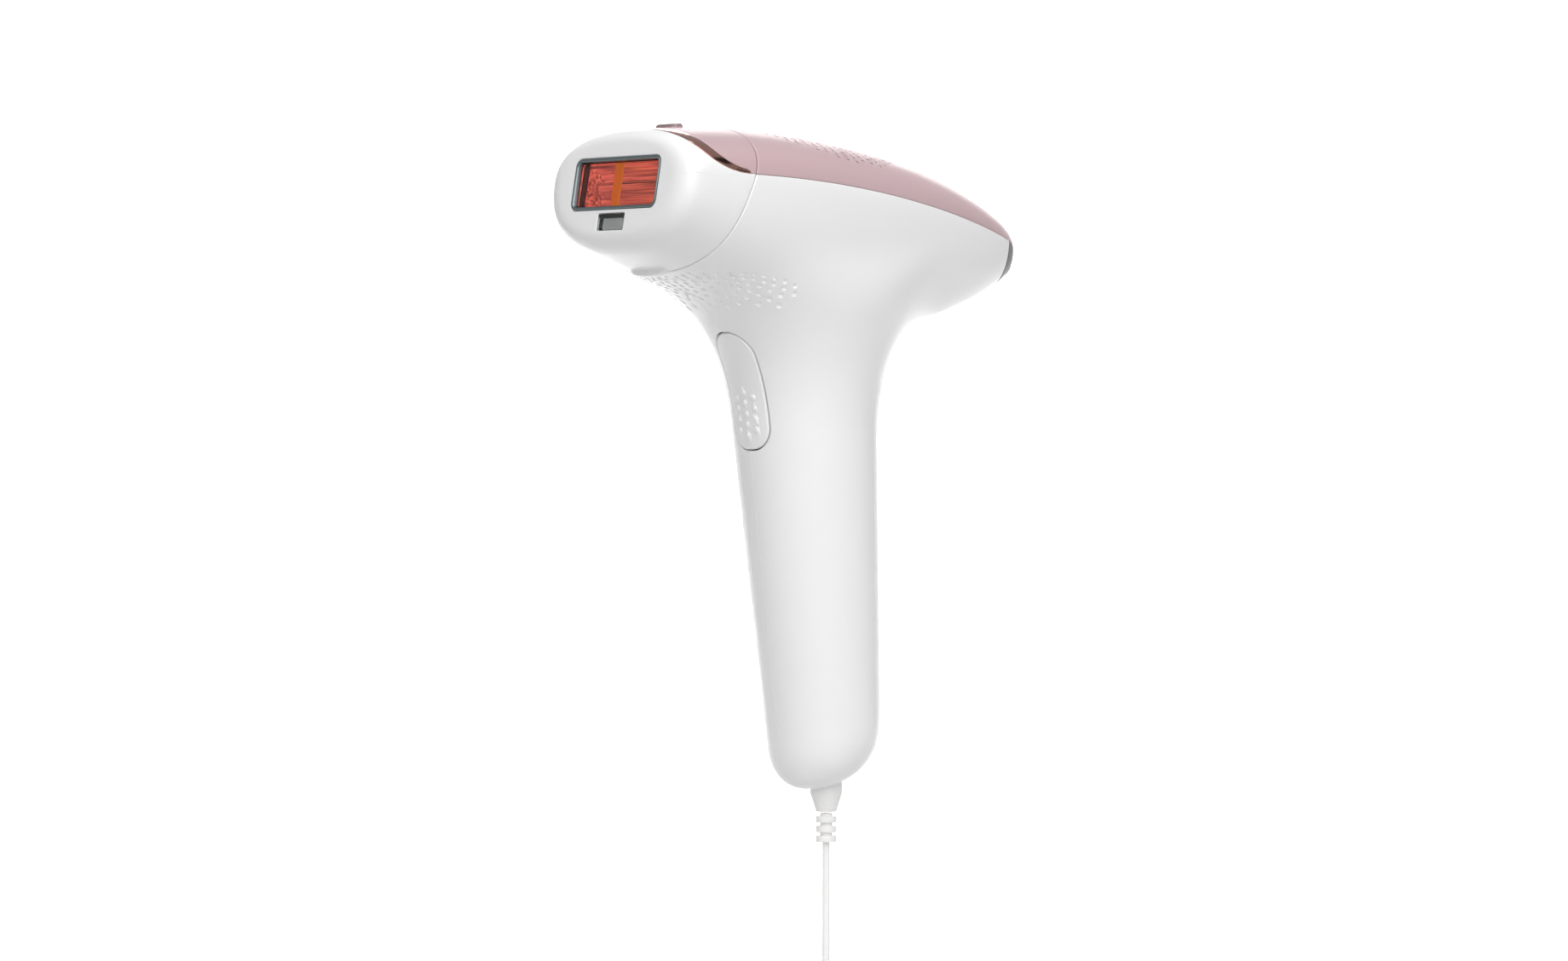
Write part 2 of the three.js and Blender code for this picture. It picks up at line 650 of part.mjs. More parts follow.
// A ring across the handle that carries the capacitor and the board.
function addHandleFrame() {
  const slice = inFrame(block([-40, -40, 24], [40, 40, 27]), grip).intersect(looseInside);
  const wireHole = inFrame(rod('z', 9, 0, 60, [0, 2.4, 0]), grip);
  const boardSlot = inFrame(block([-8.8, -12.4, 0], [8.8, -10, 60]), grip);
  add('handle_frame', cut(slice, wireHole, boardSlot), paleGrey());
}

function addWires() {
  for (const [side, name] of [[-1, 'lamp_lead_left'], [1, 'lamp_lead_right']]) {
    const route = [
      [side * 21.8, -62.4, 100.4], [side * 21.8, -54, 99], [side * 21.8, -45, 97.2], [side * 21.4, -37, 93.5],
      [side * 19.5, -26, 85], [side * 16.5, -14, 72], [side * 12, -6, 58], [side * 7, -1.5, 38],
      [side * 5, 0.9, 20], [side * 5, 2.3, 3.2],
    ];
    add(name, tube(route, 0.7, 28, 6), copperWire());
  }
  const socketRoute = [[0, 6.2, -61], [0, 5.2, -58.9], [0, 0, -57.6], [0, -5, -57.3], [0, -6.9, -55.9]];
  add('socket_lead', tube(socketRoute, 0.9, 12, 6), copperWire());
}

// ---- socket, plug and cord

function addSocketAndPlug() {
  const housing = solidOf(rod('z', 6, -71.6, -61.8, [0, PLUG.y, 0]));
  const bore = solidOf(rod('z', 3.1, -80, -64, [0, PLUG.y, 0]));
  add('power_socket', housing.subtract(bore), blackPlastic());
  add('plug_barrel', rod('z', 2.7, PLUG.topZ + GAP, -65, [0, PLUG.y, 0]), steel());
  const profile = [
    [0, PLUG.topZ], [PLUG.bodyRadius, PLUG.topZ], [PLUG.bodyRadius, PLUG.bodyEnd],
    [PLUG.ringRadius, PLUG.taperEnd], [0, PLUG.taperEnd],
  ];
  add('cord_plug', moved(turned(profile.reverse()), 0, PLUG.y, 0), cordWhite());
}

// Three rings on a slim neck, so that the cord bends gently where it leaves the plug.
function addPlugStrainRelief() {
  const top = PLUG.taperEnd - GAP;
  const neck = 1.9;
  const pitch = (top - PLUG.endZ) / 3;
  const profile = [[0, PLUG.endZ]];
  for (let ring = 0; ring < 3; ring += 1) {
    const low = PLUG.endZ + ring * pitch;
    const high = low + 0.68 * pitch;
    profile.push([PLUG.ringRadius, low], [PLUG.ringRadius, high], [neck, high]);
    if (ring < 2) profile.push([neck, low + pitch]);
  }
  profile.push([neck, top], [0, top]);
  add('plug_strain_relief', moved(turned(profile), 0, PLUG.y, 0), cordWhite());
}

// The cord's middle line, from the plug down to the coil and from the coil to the adapter.
const coilBase = CORD.surfaceZ + COIL.tie + GAP;
const cordDrop = [
  [0, PLUG.y, -95.7], [0, PLUG.y, -108], [0, PLUG.y, -122], [0, PLUG.y, -136], [0.1, 6.4, -145],
  [1, 8, -153.4], [3, 11.7, -160], [5.8, 17, -164.4], [8, 21.4, -165.8], [9.9, 25.2, -165.9],
];
const cordRise = [
  [-17, 29.7, -158.9], [-15.2, 24, -159.6], [-13.6, 18.4, -161], [-12.4, 12.6, -162.6], [-12, 6.8, -163],
];

function addCord() {
  add('power_cord_upper', tube(cordDrop, CORD.radius, 36), cordWhite());
  add('power_cord_lower', tube(cordRise, CORD.radius, 10), cordWhite());
  const top = coilBase + COIL.height;
  const ring = [
    [COIL.inner, coilBase], [COIL.outer, coilBase], [COIL.outer, top], [COIL.inner, top],
    [COIL.inner, coilBase],
  ];
  add('cord_coil', moved(turned(ring, 36), 0, COIL.y, 0), cordWhite());
}

// A soft strap round the coil's turns on the side away from the adapter.
function addCordTie() {
  const loop = (clearance) => [
    [COIL.y + COIL.inner - 0.5 - clearance, coilBase - clearance],
    [COIL.y + COIL.outer + clearance, coilBase + COIL.height + clearance],
  ];
  const strap = (halfWidth, [low, high]) => solidOf(block([-halfWidth, ...low], [halfWidth, ...high]));
  add('cord_tie', strap(3, loop(GAP + COIL.tie)).subtract(strap(9, loop(GAP))), paleGrey());
}

// ---- adapter

const adapterTop = CORD.surfaceZ + ADAPTER.height;
const adapterMiddle = CORD.surfaceZ + ADAPTER.height / 2;
const pinZ = CORD.surfaceZ + ADAPTER_PIN.rise;
const exitZ = CORD.surfaceZ + ADAPTER_EXIT.rise;

function adapterTray(low, high, hollowLow, hollowHigh) {
  const { front, back, halfWidth, wall } = ADAPTER;
  const outline = roundedRectangle(halfWidth, (high - low) / 2, 2.5, (high + low) / 2);
  const outer = solidOf(frontPrism(outline, front, back));
  const innerLow = [wall - halfWidth, front + wall, hollowLow];
  const innerHigh = [halfWidth - wall, back - wall, hollowHigh];
  const inner = solidOf(block(innerLow, innerHigh));
  return outer.subtract(inner);
}

function addAdapterCase() {
  const { front, back, wall } = ADAPTER;
  const whole = adapterTray(CORD.surfaceZ, adapterTop, CORD.surfaceZ + wall, adapterTop - wall);
  const half = (low, high) => solidOf(block([-40, -100, low], [40, 20, high]));
  const pinPlace = (side) => [side * ADAPTER_PIN.spread, 0, pinZ];
  const pinHole = (side) => rod('y', ADAPTER_PIN.radius + GAP, front - 5, front + 5, pinPlace(side));
  const exitHole = rod('y', 2.5, back - 5, back + 5, [ADAPTER_EXIT.x, 0, exitZ]);
  const openings = [pinHole(-1), pinHole(1), exitHole].map(solidOf);
  add('adapter_base', cut(whole.intersect(half(-180, adapterMiddle - GAP / 2)), ...openings), glossWhite());
  add('adapter_cover', whole.intersect(half(adapterMiddle + GAP / 2, -130)), glossWhite());
}

function addAdapterParts() {
  const { front, back } = ADAPTER;
  for (const [side, name] of [[-1, 'adapter_pin_left'], [1, 'adapter_pin_right']]) {
    const place = [side * ADAPTER_PIN.spread, 0, pinZ];
    add(name, rod('y', ADAPTER_PIN.radius, front - ADAPTER_PIN.length, front + 5, place, 16), steel());
  }
  const board = block([-17, front + 6, adapterMiddle - 2], [17, back - 5, adapterMiddle - 0.4]);
  add('adapter_board', board, circuitGreen());
  add('adapter_transformer', block([-8, -40, adapterMiddle], [8, -22, adapterMiddle + 10.6]), darkGrey());
}

// A tapering sleeve that the cord leaves the adapter through.
function addAdapterStrainRelief() {
  const { reach } = ADAPTER_EXIT;
  const profile = [
    [0, 0], [1.5, 0], [2.1, reach - 1.4], [3.2, reach - 1.2], [3.2, reach - 0.3], [2.1, reach - 0.3],
    [2.1, reach + 3], [0, reach + 3],
  ];
  const sleeve = turned(profile, 16).rotateX(Math.PI / 2);
  add('adapter_strain_relief', moved(sleeve, ADAPTER_EXIT.x, ADAPTER.back + reach, exitZ), cordWhite());
}

// ---- attachment

function addAttachmentShell() {
  const front = skin.intersect(aheadOfParting());
  const openings = [windowOutline(WINDOW.frame + GAP), sensorOutline(GAP)];
  const holes = openings.map((outline) => inFrame(frontPrism(outline, -5, 6), nose));
  const levelled = inFrame(block([-40, -9, -40], [40, FACE.skim, 40]), nose);
  const white = cut(front, insideTrimEdge(TRIM_LOWER, GAP), levelled, ...holes);
  add('attachment_shell', join(white, fingerLip()), glossWhite());
  const trim = front.intersect(insideTrimEdge(TRIM_LOWER, 0)).subtract(insideTrimEdge(TRIM_UPPER, GAP));
  add('attachment_trim', trim, roseGold());
  const cover = front.intersect(insideTrimEdge(TRIM_UPPER, 0));
  add('attachment_cover', join(cover, fingerTab()), pearlPink());
}

// A low ridge across the top, to pull the attachment off by.
function fingerTab() {
  const profile = [[-56.3, 118.4], [-56.1, 120.8], [-54.6, 121], [-50.6, 119.6], [-50.6, 118.2]];
  return solidOf(sidePrism(polygon(profile), 5.4));
}

// A crescent ledge under the attachment, opposite the ridge.
function fingerLip() {
  const shape = new THREE.Shape();
  shape.moveTo(8, -62);
  shape.quadraticCurveTo(0, -66.4, -8, -62);
  const ledge = new THREE.ExtrudeGeometry(shape, { depth: 3, bevelEnabled: false, curveSegments: 8 });
  return solidOf(ledge.translate(0, 0, 75.3));
}

function addWindowFrame() {
  const ring = solidOf(frontPrism(windowOutline(WINDOW.frame), -0.15, 3.6));
  const flange = solidOf(block([-22, 2.9, -5], [22, 3.8, 5]));
  const opening = solidOf(frontPrism(windowOutline(0), -5, 10));
  add('window_frame', join(ring, flange).subtract(opening), steel(), nose);
  add('sensor_window', frontPrism(sensorOutline(0), 0.1, SENSOR.depth), clearGlass(), nose);
}

function addAttachmentFrame() {
  const contactHole = inFrame(block([-6, -10, -20.7], [6, 1, -16.9]), seam);
  add('attachment_frame', bulkhead(-3.4, -0.9, 1).subtract(contactHole), paleGrey());
}

addHandsetShells();
addRearPanel();
addPowerButton();
addLightGuide();
addTrigger();
addTriggerBracket();
addTriggerSwitch();
addTriggerSpring();
addLampHousing();
addReflector();
addFilterGlass();
addSkinSensor();
addFrontBulkhead();
addContacts();
addFan();
addAirDuct();
addElectronics();
addHandleFrame();
addWires();
addSocketAndPlug();
addPlugStrainRelief();
addCord();
addCordTie();
addAdapterCase();
addAdapterParts();
addAdapterStrainRelief();
addAttachmentShell();
addWindowFrame();
addAttachmentFrame();

export default hairRemover;
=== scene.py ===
"""The looks of a corded light-based hair remover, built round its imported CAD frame.

The handset's body is one smooth surface, written as a formula. A fine mesh of it is cut along its seams,
and each piece gets rounded edges, a wall and its own details. Lengths are in millimetres until a mesh
becomes an object.
"""

import json
import math

import bpy
import numpy as np
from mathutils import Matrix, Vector


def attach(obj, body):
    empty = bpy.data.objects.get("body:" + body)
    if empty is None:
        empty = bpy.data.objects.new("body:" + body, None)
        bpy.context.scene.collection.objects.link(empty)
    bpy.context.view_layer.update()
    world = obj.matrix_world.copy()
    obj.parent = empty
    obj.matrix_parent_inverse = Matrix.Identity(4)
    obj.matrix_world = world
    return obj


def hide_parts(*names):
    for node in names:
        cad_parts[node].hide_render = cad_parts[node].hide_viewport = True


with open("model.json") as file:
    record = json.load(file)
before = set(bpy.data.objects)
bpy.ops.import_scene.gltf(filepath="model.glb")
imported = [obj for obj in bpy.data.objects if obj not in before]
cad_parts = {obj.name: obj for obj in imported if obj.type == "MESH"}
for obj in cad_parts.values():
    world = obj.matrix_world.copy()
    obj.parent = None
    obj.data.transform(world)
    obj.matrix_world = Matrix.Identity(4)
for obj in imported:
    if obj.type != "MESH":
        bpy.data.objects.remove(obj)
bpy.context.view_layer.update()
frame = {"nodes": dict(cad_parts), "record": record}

MM = 0.001
DEGREE = math.pi / 180

# ---------------------------------------------------------------- driving dimensions

# The head, by sections every STEP from FIRST along Y, that a rounded tail closes.
HEAD_FIRST, HEAD_STEP = -80.0, 40.0
HEAD_HALF_WIDTH = [33.8, 34.6, 31.7, 27.3, 21.1]
HEAD_RIDGE = [118.3, 119.8, 117.2, 112.9, 104.8]
HEAD_KEEL = [84.4, 67.9, 58.2, 55.7, 60.9]
WIDEST_FRONT, WIDEST_BACK = 104.6, 85.6
SQUARENESS = 2.37
TAPER_START, TAPER_POWER, TAIL_Y = -27.7, 1.9, 79.3

# The handle: a leaning, tapering round column with a slanted foot.
HANDLE_Z, HANDLE_Y, HANDLE_LEAN = -20.0, 1.64, -6.27 / 80
HANDLE_RADIUS, HANDLE_FLARE = 19.54, 3.9 / 80
HANDLE_TOP, HANDLE_TOP_ROUNDING = 66.0, 8.0
FOOT_Z, FOOT_Y, FOOT_SLOPE, FOOT_ROUNDING = -78.54, 4.0, 0.321, 16.3
NECK_FILLET = 22.3
ROUGH_RADIUS = 25.0
RAYS_TOP, RAYS_NECK, RAYS_FOOT = 92.0, 30.0, -56.0

FACE_Y, FACE_Z, FACE_PITCH, FACE_EDGE = -75.04, 101.8, 10 * DEGREE, 6.0
FACE_SKIM = 0.05
WINDOW_RISE, WINDOW_HALF_WIDTH, WINDOW_HALF_HEIGHT = 0.84, 19.2, 6.75
WINDOW_CORNER, WINDOW_RIM = 1.4, 1.15
SENSOR_HALF_WIDTH, SENSOR_TOP, SENSOR_BOTTOM = 6.4, -9.05, -14.25
PARTING_Y, PARTING_Z, PARTING_TILT = -51.5, 98.6, 22.9 * DEGREE
SPLIT_Z, SPLIT_Y, SPLIT_DROP = 104.9, -62.0, 0.0009
TRIM_LOWER = {"y": -50.0, "z": 117.0, "length": 18.6, "height": 12.1}
TRIM_UPPER = {"y": -49.0, "z": 117.5, "length": 14.8, "height": 11.6}
TRIM_END_Y, TRIM_END_ROUNDING = -50.6, 1.8
REAR_Y, REAR_Z, REAR_SLOPE = 71.6, 85.0, 0.25
TRIGGER_HALF_WIDTH, TRIGGER_TOP, TRIGGER_BOTTOM, TRIGGER_CORNER = 8.2, 58.6, 23.6, 7.0
BUTTON_Y, BUTTON_Z, BUTTON_PITCH = 76.0, 80.5, 32 * DEGREE
BUTTON_HALF_WIDTH, BUTTON_HALF_HEIGHT = 4.3, 3.0

# The air holes under the head lie on ovals round the neck's front. The ovals' half axes: the first one's,
# and how they shrink by ring and by its square. Then each oval's angle between holes, and its first hole.
UNDER_VENT_Y = -33.5
UNDER_VENT_ACROSS, UNDER_VENT_AHEAD = (26.9, 2.2, 0.15), (30.0, 1.75, 0.11)
UNDER_VENT_STEPS = [8.84, 8.7, 9.6, 9.56, 12.1, 14.0, 16.0, 20.5]
UNDER_VENT_STARTS = [0.5, 0, 0, 0.5, 0, 0, 0, 0]
UNDER_VENT_LAST_ANGLE, UNDER_VENT_DEPTH = 102, 0.5
UNDER_VENT_LOWEST, UNDER_VENT_HINDMOST, UNDER_VENT_PARTING_MARGIN = 66.2, -27.6, 2.2
UNDER_VENT_RADIUS, UNDER_VENT_GROWTH, UNDER_VENT_GROWTH_Z = 0.6, 0.037, 76.8
TOP_VENT_ROW, TOP_VENT_PITCH, TOP_VENT_RADIUS = 3.75, 2.15, 0.55
TOP_VENT_DEPTH, TOP_VENT_FLOOR = 1.3, 0.8
TOP_FIELD_Y, TOP_FIELD_HALF_WIDTH, TOP_FIELD_HALF_LENGTH, TOP_FIELD_FAN = -5, 26.3, 34, 0.0006
BUMP_PITCH, BUMP_RADIUS, BUMP_HEIGHT = 3.25, 0.95, 0.55
BUMP_TOP, BUMP_SIDE_TOP, BUMP_SIDE_X = 41.1, 39.45, 3.8
LIGHTS_Z, LIGHT_PITCH, LIGHT_HALF = 86.2, 2.0, 0.6
TAB_Y, TAB_HALF_WIDTH, TAB_HALF_LENGTH, TAB_CORNER = -54.5, 5.2, 2.2, 2.0
TAB_HEIGHT, TAB_EDGE = 1.3, 0.9
STRIP_X = -3.7
LIP_HALF_WIDTH, LIP_LENGTH, LIP_HEIGHT = 8.2, 2.3, 1.5
WALL = 2.0
# What a seam's distance says where the seam doesn't run.
FAR_AWAY = 40.0

PLUG_Y, PLUG_TOP, PLUG_END, RELIEF_TOP, RELIEF_END = 6.2, -73.0, -86.2, -86.5, -95.4
CORD_RADIUS = 1.15
SURFACE_Z = -168.0
COIL_Y, COIL_BASE, COIL_INNER_TURN, COIL_PITCH, COIL_LAYERS = 48.0, -167.0, 14.0, 2.4, 4
COIL_START, COIL_END = -40.0, 200.0
COIL_TURNS = 14 + (COIL_END - COIL_START) / 360
ADAPTER_FRONT, ADAPTER_BACK, ADAPTER_HALF_WIDTH, ADAPTER_HEIGHT = -56.0, -5.0, 20.0, 26.0
ADAPTER_WALL, ADAPTER_ROUNDING, ADAPTER_HALF_GAP = 2.0, 2.2, 0.12
PIN_RADIUS, PIN_LENGTH, PIN_HALF_SPACING, PIN_HEIGHT = 2.0, 19.0, 9.5, 8.0
ADAPTER_EXIT_X, ADAPTER_EXIT_Z, ADAPTER_EXIT_REACH = -12.0, -163.0, 11.0

CAMERA_AZIMUTH = 50.7
CAMERA_DISTANCE = 2000.0
CAMERA_SIDE, CAMERA_HEIGHT = -8.0, 14.5
CAMERA_LENS = 151.4

WORLD_STRENGTH = 0.36
# The dark flags round the set: azimuth, elevation and half their spread, in degrees.
FLAGS = [(149, 41, 8.5), (134, 17, 9)]

# Every material made, by name.
MATERIALS = {}


# ---------------------------------------------------------------- shared helpers

def direction(azimuth, elevation=0.0):
    """The unit vector towards an azimuth and an elevation in degrees; azimuth 0 is the front, -Y."""
    a, e = azimuth * DEGREE, elevation * DEGREE
    return np.array((math.sin(a) * math.cos(e), -math.cos(a) * math.cos(e), math.sin(e)))


def middle_and_half(low, high):
    return (low + high) / 2, (high - low) / 2


def joined(*columns):
    """Columns side by side on a new last axis; a single number fills its whole column."""
    return np.stack(np.broadcast_arrays(*columns), axis=-1)


def with_ends(values):
    """The values with one more at each end, in line with the last two there."""
    values = np.asarray(values, float)
    return np.concatenate([[2 * values[0] - values[1]], values, [2 * values[-1] - values[-2]]])


def smooth_between(before, start, end, after, t):
    """The value t of the way from start to end, on a smooth curve that goes through all four."""
    return 0.5 * (
        2 * start
        + (end - before) * t
        + (2 * before - 5 * start + 4 * end - after) * t**2
        + (3 * start - before - 3 * end + after) * t**3
    )


def add_object(name, data):
    added = bpy.data.objects.new(name, data)
    bpy.context.scene.collection.objects.link(added)
    return added


def smooth_mesh(name, points, faces):
    """A smooth-shaded mesh, from points in millimetres."""
    mesh = bpy.data.meshes.new(name)
    mesh.from_pydata((np.asarray(points) * MM).tolist(), [], [tuple(face) for face in faces])
    mesh.update()
    mesh.polygons.foreach_set("use_smooth", [True] * len(mesh.polygons))
    return mesh


# ---------------------------------------------------------------- camera

def make_camera():
    data = bpy.data.cameras.new("camera")
    data.lens = CAMERA_LENS
    data.sensor_width = 36
    data.clip_start = 0.05
    data.clip_end = 20
    camera = add_object("camera", data)
    back, right = direction(CAMERA_AZIMUTH), direction(CAMERA_AZIMUTH + 90)
    camera.location = (back * CAMERA_DISTANCE + right * CAMERA_SIDE + (0, 0, CAMERA_HEIGHT)) * MM
    camera.rotation_euler = (math.pi / 2, 0, CAMERA_AZIMUTH * DEGREE)
    bpy.context.scene.camera = camera


# ---------------------------------------------------------------- materials

class Nodes:
    """The node tree of a material or a world, with short calls for the nodes used here."""

    def __init__(self, owner):
        owner.use_nodes = True
        self.tree = owner.node_tree
        self.shader = self.tree.nodes.get("Principled BSDF")

    def add(self, kind, **values):
        """A new node, with values for its inputs and, under any other name, its settings."""
        return self.set(self.tree.nodes.new(kind), **values)

    def set(self, node, **values):
        for name, value in values.items():
            socket = name.replace("_", " ")
            if socket in node.inputs:
                node.inputs[socket].default_value = value
            else:
                setattr(node, name, value)
        return node

    def link(self, output, target):
        self.tree.links.new(output, target)

    def place(self):
        return self.add("ShaderNodeTexCoord").outputs["Object"]

    def noise(self, scale, detail=2.0, stretch=None):
        """Noise in the object's own space, drawn out along an axis whose stretch is below 1."""
        place = self.place()
        if stretch:
            mapping = self.add("ShaderNodeMapping", Scale=stretch)
            self.link(place, mapping.inputs["Vector"])
            place = mapping.outputs["Vector"]
        node = self.add("ShaderNodeTexNoise", Scale=scale, Detail=detail)
        self.link(place, node.inputs["Vector"])
        return node.outputs["Fac"]

    def spread(self, source, low, high, start=0.0, end=1.0):
        """A value that goes from low to high while the source goes from start to end."""
        node = self.add("ShaderNodeMapRange", From_Min=start, From_Max=end, To_Min=low, To_Max=high)
        self.link(source, node.inputs["Value"])
        return node.outputs["Result"]

    def roughness(self, source, low, high):
        self.link(self.spread(source, low, high), self.shader.inputs["Roughness"])

    def bump(self, source, strength, distance):
        node = self.add("ShaderNodeBump", Strength=strength, Distance=distance)
        self.link(source, node.inputs["Height"])
        self.link(node.outputs["Normal"], self.shader.inputs["Normal"])

    def tint(self, source, dark, light):
        ramp = self.add("ShaderNodeValToRGB")
        for element, position, colour in zip(ramp.color_ramp.elements, (0.3, 0.7), (dark, light)):
            element.position = position
            element.color = (*colour, 1)
        self.link(source, ramp.inputs["Fac"])
        self.link(ramp.outputs["Color"], self.shader.inputs["Base Color"])


def new_material(name):
    """The nodes of a new material, which MATERIALS holds under this name."""
    MATERIALS[name] = bpy.data.materials.new(name)
    return Nodes(MATERIALS[name])


def shade(colour, factor):
    return tuple(channel * factor for channel in colour)


def moulded(name, colour, roughness, variation=0.02, grain=900, coat=0.0):
    """Moulded or painted plastic: a faint change of tone, a fine grain and slightly uneven gloss."""
    nodes = new_material(name)
    nodes.tint(nodes.noise(14), shade(colour, 1 - variation), colour)
    nodes.roughness(nodes.noise(90, 3), roughness - 0.03, roughness + 0.03)
    nodes.bump(nodes.noise(grain, 3), strength=0.12, distance=0.00002)
    nodes.set(nodes.shader, Coat_Weight=coat, Coat_Roughness=0.2)


def metal(name, colour, roughness, stretch=None):
    """Metal with fine marks, which may be drawn out along one axis."""
    nodes = new_material(name)
    marks = nodes.noise(1400, 3, stretch)
    nodes.tint(nodes.noise(20), shade(colour, 0.94), colour)
    nodes.roughness(marks, roughness * 0.7, roughness * 1.3)
    nodes.bump(marks, strength=0.1, distance=0.00001)
    nodes.set(nodes.shader, Metallic=1.0)


def mirror_with_painted_streaks(name):
    """Bright metal with light and dark lines along X painted into its colour: painted reflection streaks
    along the trough's ridges.
    """
    nodes = new_material(name)
    lines = nodes.noise(1100, 1, (0.04, 1, 1))
    # The dark and light lines in the base colour are painted reflections.
    nodes.tint(lines, (0.2, 0.2, 0.2), (0.97, 0.97, 0.97))
    nodes.roughness(lines, 0.18, 0.32)
    nodes.set(nodes.shader, Metallic=0.45)


def paint_glow(name, strength):
    """Paints a faint glow of its own colour onto a material, though the part is no lamp: painted light that
    stands in for the light that gathers behind the filter.
    """
    nodes = Nodes(MATERIALS[name])
    source = nodes.shader.inputs["Base Color"].links[0].from_socket
    nodes.link(source, nodes.shader.inputs["Emission Color"])
    nodes.set(nodes.shader, Emission_Strength=strength)


def glass(name, colour, roughness=0.02):
    """Clear or coloured glass with a faint waviness."""
    nodes = new_material(name)
    nodes.tint(nodes.noise(60), shade(colour, 0.96), colour)
    nodes.roughness(nodes.noise(120), roughness, roughness + 0.02)
    nodes.bump(nodes.noise(70), strength=0.03, distance=0.00002)
    nodes.set(nodes.shader, Transmission_Weight=1.0, IOR=1.45)


def circuit(name):
    """A green board with pale copper lines under its mask."""
    nodes = new_material(name)
    lines = nodes.add(
        "ShaderNodeTexBrick", Scale=420.0, Mortar_Size=0.06,
        Color1=(0.02, 0.1, 0.035, 1), Color2=(0.025, 0.12, 0.045, 1), Mortar=(0.06, 0.2, 0.08, 1),
    )
    nodes.link(nodes.place(), lines.inputs["Vector"])
    nodes.link(lines.outputs["Color"], nodes.shader.inputs["Base Color"])
    nodes.roughness(nodes.noise(300), 0.35, 0.5)
    nodes.bump(lines.outputs["Fac"], strength=0.1, distance=0.00003)


def make_materials():
    """The materials of the CAD's slots, and those that only the visual model has."""
    moulded("gloss_white", (0.92, 0.915, 0.92), 0.3, variation=0.008, coat=0.15)
    # A whiter white inside the air holes under the head: painted highlight, so the dimples look as if they
    # catch light.
    moulded("vent_painted_highlight", (0.99, 0.99, 0.99), 0.4)
    moulded("pearl_pink", (0.565, 0.405, 0.425), 0.34, variation=0.015, coat=0.2)
    # A dark pink for the pull tab: painted shade, standing in for the shade on the tab's front.
    moulded("tab_painted_shade", (0.27, 0.19, 0.195), 0.35, coat=0.3)
    # A near black inside the shallow holes on top: painted shade, standing in for the dark inside of deep
    # holes.
    moulded("vent_painted_shade", (0.09, 0.05, 0.055), 0.5)
    metal("rose_gold", (0.6, 0.33, 0.28), 0.14, (0.2, 1, 1))
    moulded("dark_grey", (0.17, 0.165, 0.165), 0.42)
    moulded("black_plastic", (0.025, 0.025, 0.026), 0.5)
    moulded("pale_grey", (0.58, 0.58, 0.6), 0.45)
    metal("steel", (0.5, 0.52, 0.54), 0.3, (0.1, 1, 1))
    metal("bezel", (0.24, 0.29, 0.3), 0.38)
    # The reflector's metal, with painted reflection streaks along its ridges.
    mirror_with_painted_streaks("mirror_metal")
    # The reflector glows with painted light: emission on a part that is no lamp.
    paint_glow("mirror_metal", 0.42)
    moulded("strip_yellow", (0.55, 0.8, 0.06), 0.4)
    # The strip across the reflector's mouth glows with painted light: emission on a part that is no lamp.
    paint_glow("strip_yellow", 0.6)
    metal("contact_gold", (0.7, 0.47, 0.12), 0.25)
    glass("clear_glass", (0.93, 0.95, 0.95))
    glass("red_glass", (1.0, 0.18, 0.13))
    glass("sensor_glass", (0.9, 0.92, 0.92), roughness=0.08)
    moulded("sensor_face", (0.82, 0.82, 0.82), 0.35)
    circuit("circuit_green")
    moulded("lead_red", (0.4, 0.04, 0.03), 0.45)
    moulded("cord_white", (0.96, 0.955, 0.945), 0.42, grain=1600)
    moulded("floor_paint", (0.55, 0.55, 0.55), 0.6, variation=0.0)


# ---------------------------------------------------------------- body surface

def soft_min(a, b, size):
    overlap = np.maximum(size - np.abs(a - b), 0) / size
    return np.minimum(a, b) - overlap * overlap * size / 4


def soft_max(a, b, size):
    return -soft_min(-a, -b, size)


def along(values, y):
    """A smooth curve through the head's evenly spaced values, straight beyond both ends."""
    last = len(values) - 1
    place = (y - HEAD_FIRST) / HEAD_STEP
    inside = np.clip(place, 0, last)
    index = np.minimum(inside.astype(int), last - 1)
    padded = with_ends(values)
    curve = smooth_between(*(padded[index + shift] for shift in range(4)), inside - index)
    beyond_front = np.minimum(place, 0) * (values[1] - values[0])
    beyond_back = np.maximum(place - last, 0) * (values[last] - values[last - 1])
    return curve + beyond_front + beyond_back


def head_field(p):
    x, y, z = p[..., 0], p[..., 1], p[..., 2]
    reach = HEAD_STEP * (len(HEAD_HALF_WIDTH) - 1)
    widest = WIDEST_FRONT + (WIDEST_BACK - WIDEST_FRONT) * (y - HEAD_FIRST) / reach
    half_width = np.maximum(along(HEAD_HALF_WIDTH, y), 3)
    span = np.where(z > widest, along(HEAD_RIDGE, y) - widest, widest - along(HEAD_KEEL, y))
    tail = np.maximum(0, (y - TAPER_START) / (TAIL_Y - TAPER_START))
    total = (
        (np.abs(x) / half_width) ** SQUARENESS
        + (np.abs(z - widest) / np.maximum(span, 3)) ** SQUARENESS
        + tail**TAPER_POWER
    )
    return (total ** (1 / SQUARENESS) - 1) * ROUGH_RADIUS


def handle_axis_y(z):
    return HANDLE_Y + HANDLE_LEAN * (z - HANDLE_Z)


def handle_field(p):
    x, y, z = p[..., 0], p[..., 1], p[..., 2]
    radius = HANDLE_RADIUS + HANDLE_FLARE * (z - HANDLE_Z)
    column = np.hypot(x, y - handle_axis_y(z)) - radius
    capped = soft_max(column, z - HANDLE_TOP, HANDLE_TOP_ROUNDING)
    foot = (FOOT_Z + FOOT_SLOPE * (y - FOOT_Y) - z) / math.hypot(1, FOOT_SLOPE)
    return soft_max(capped, foot, FOOT_ROUNDING)


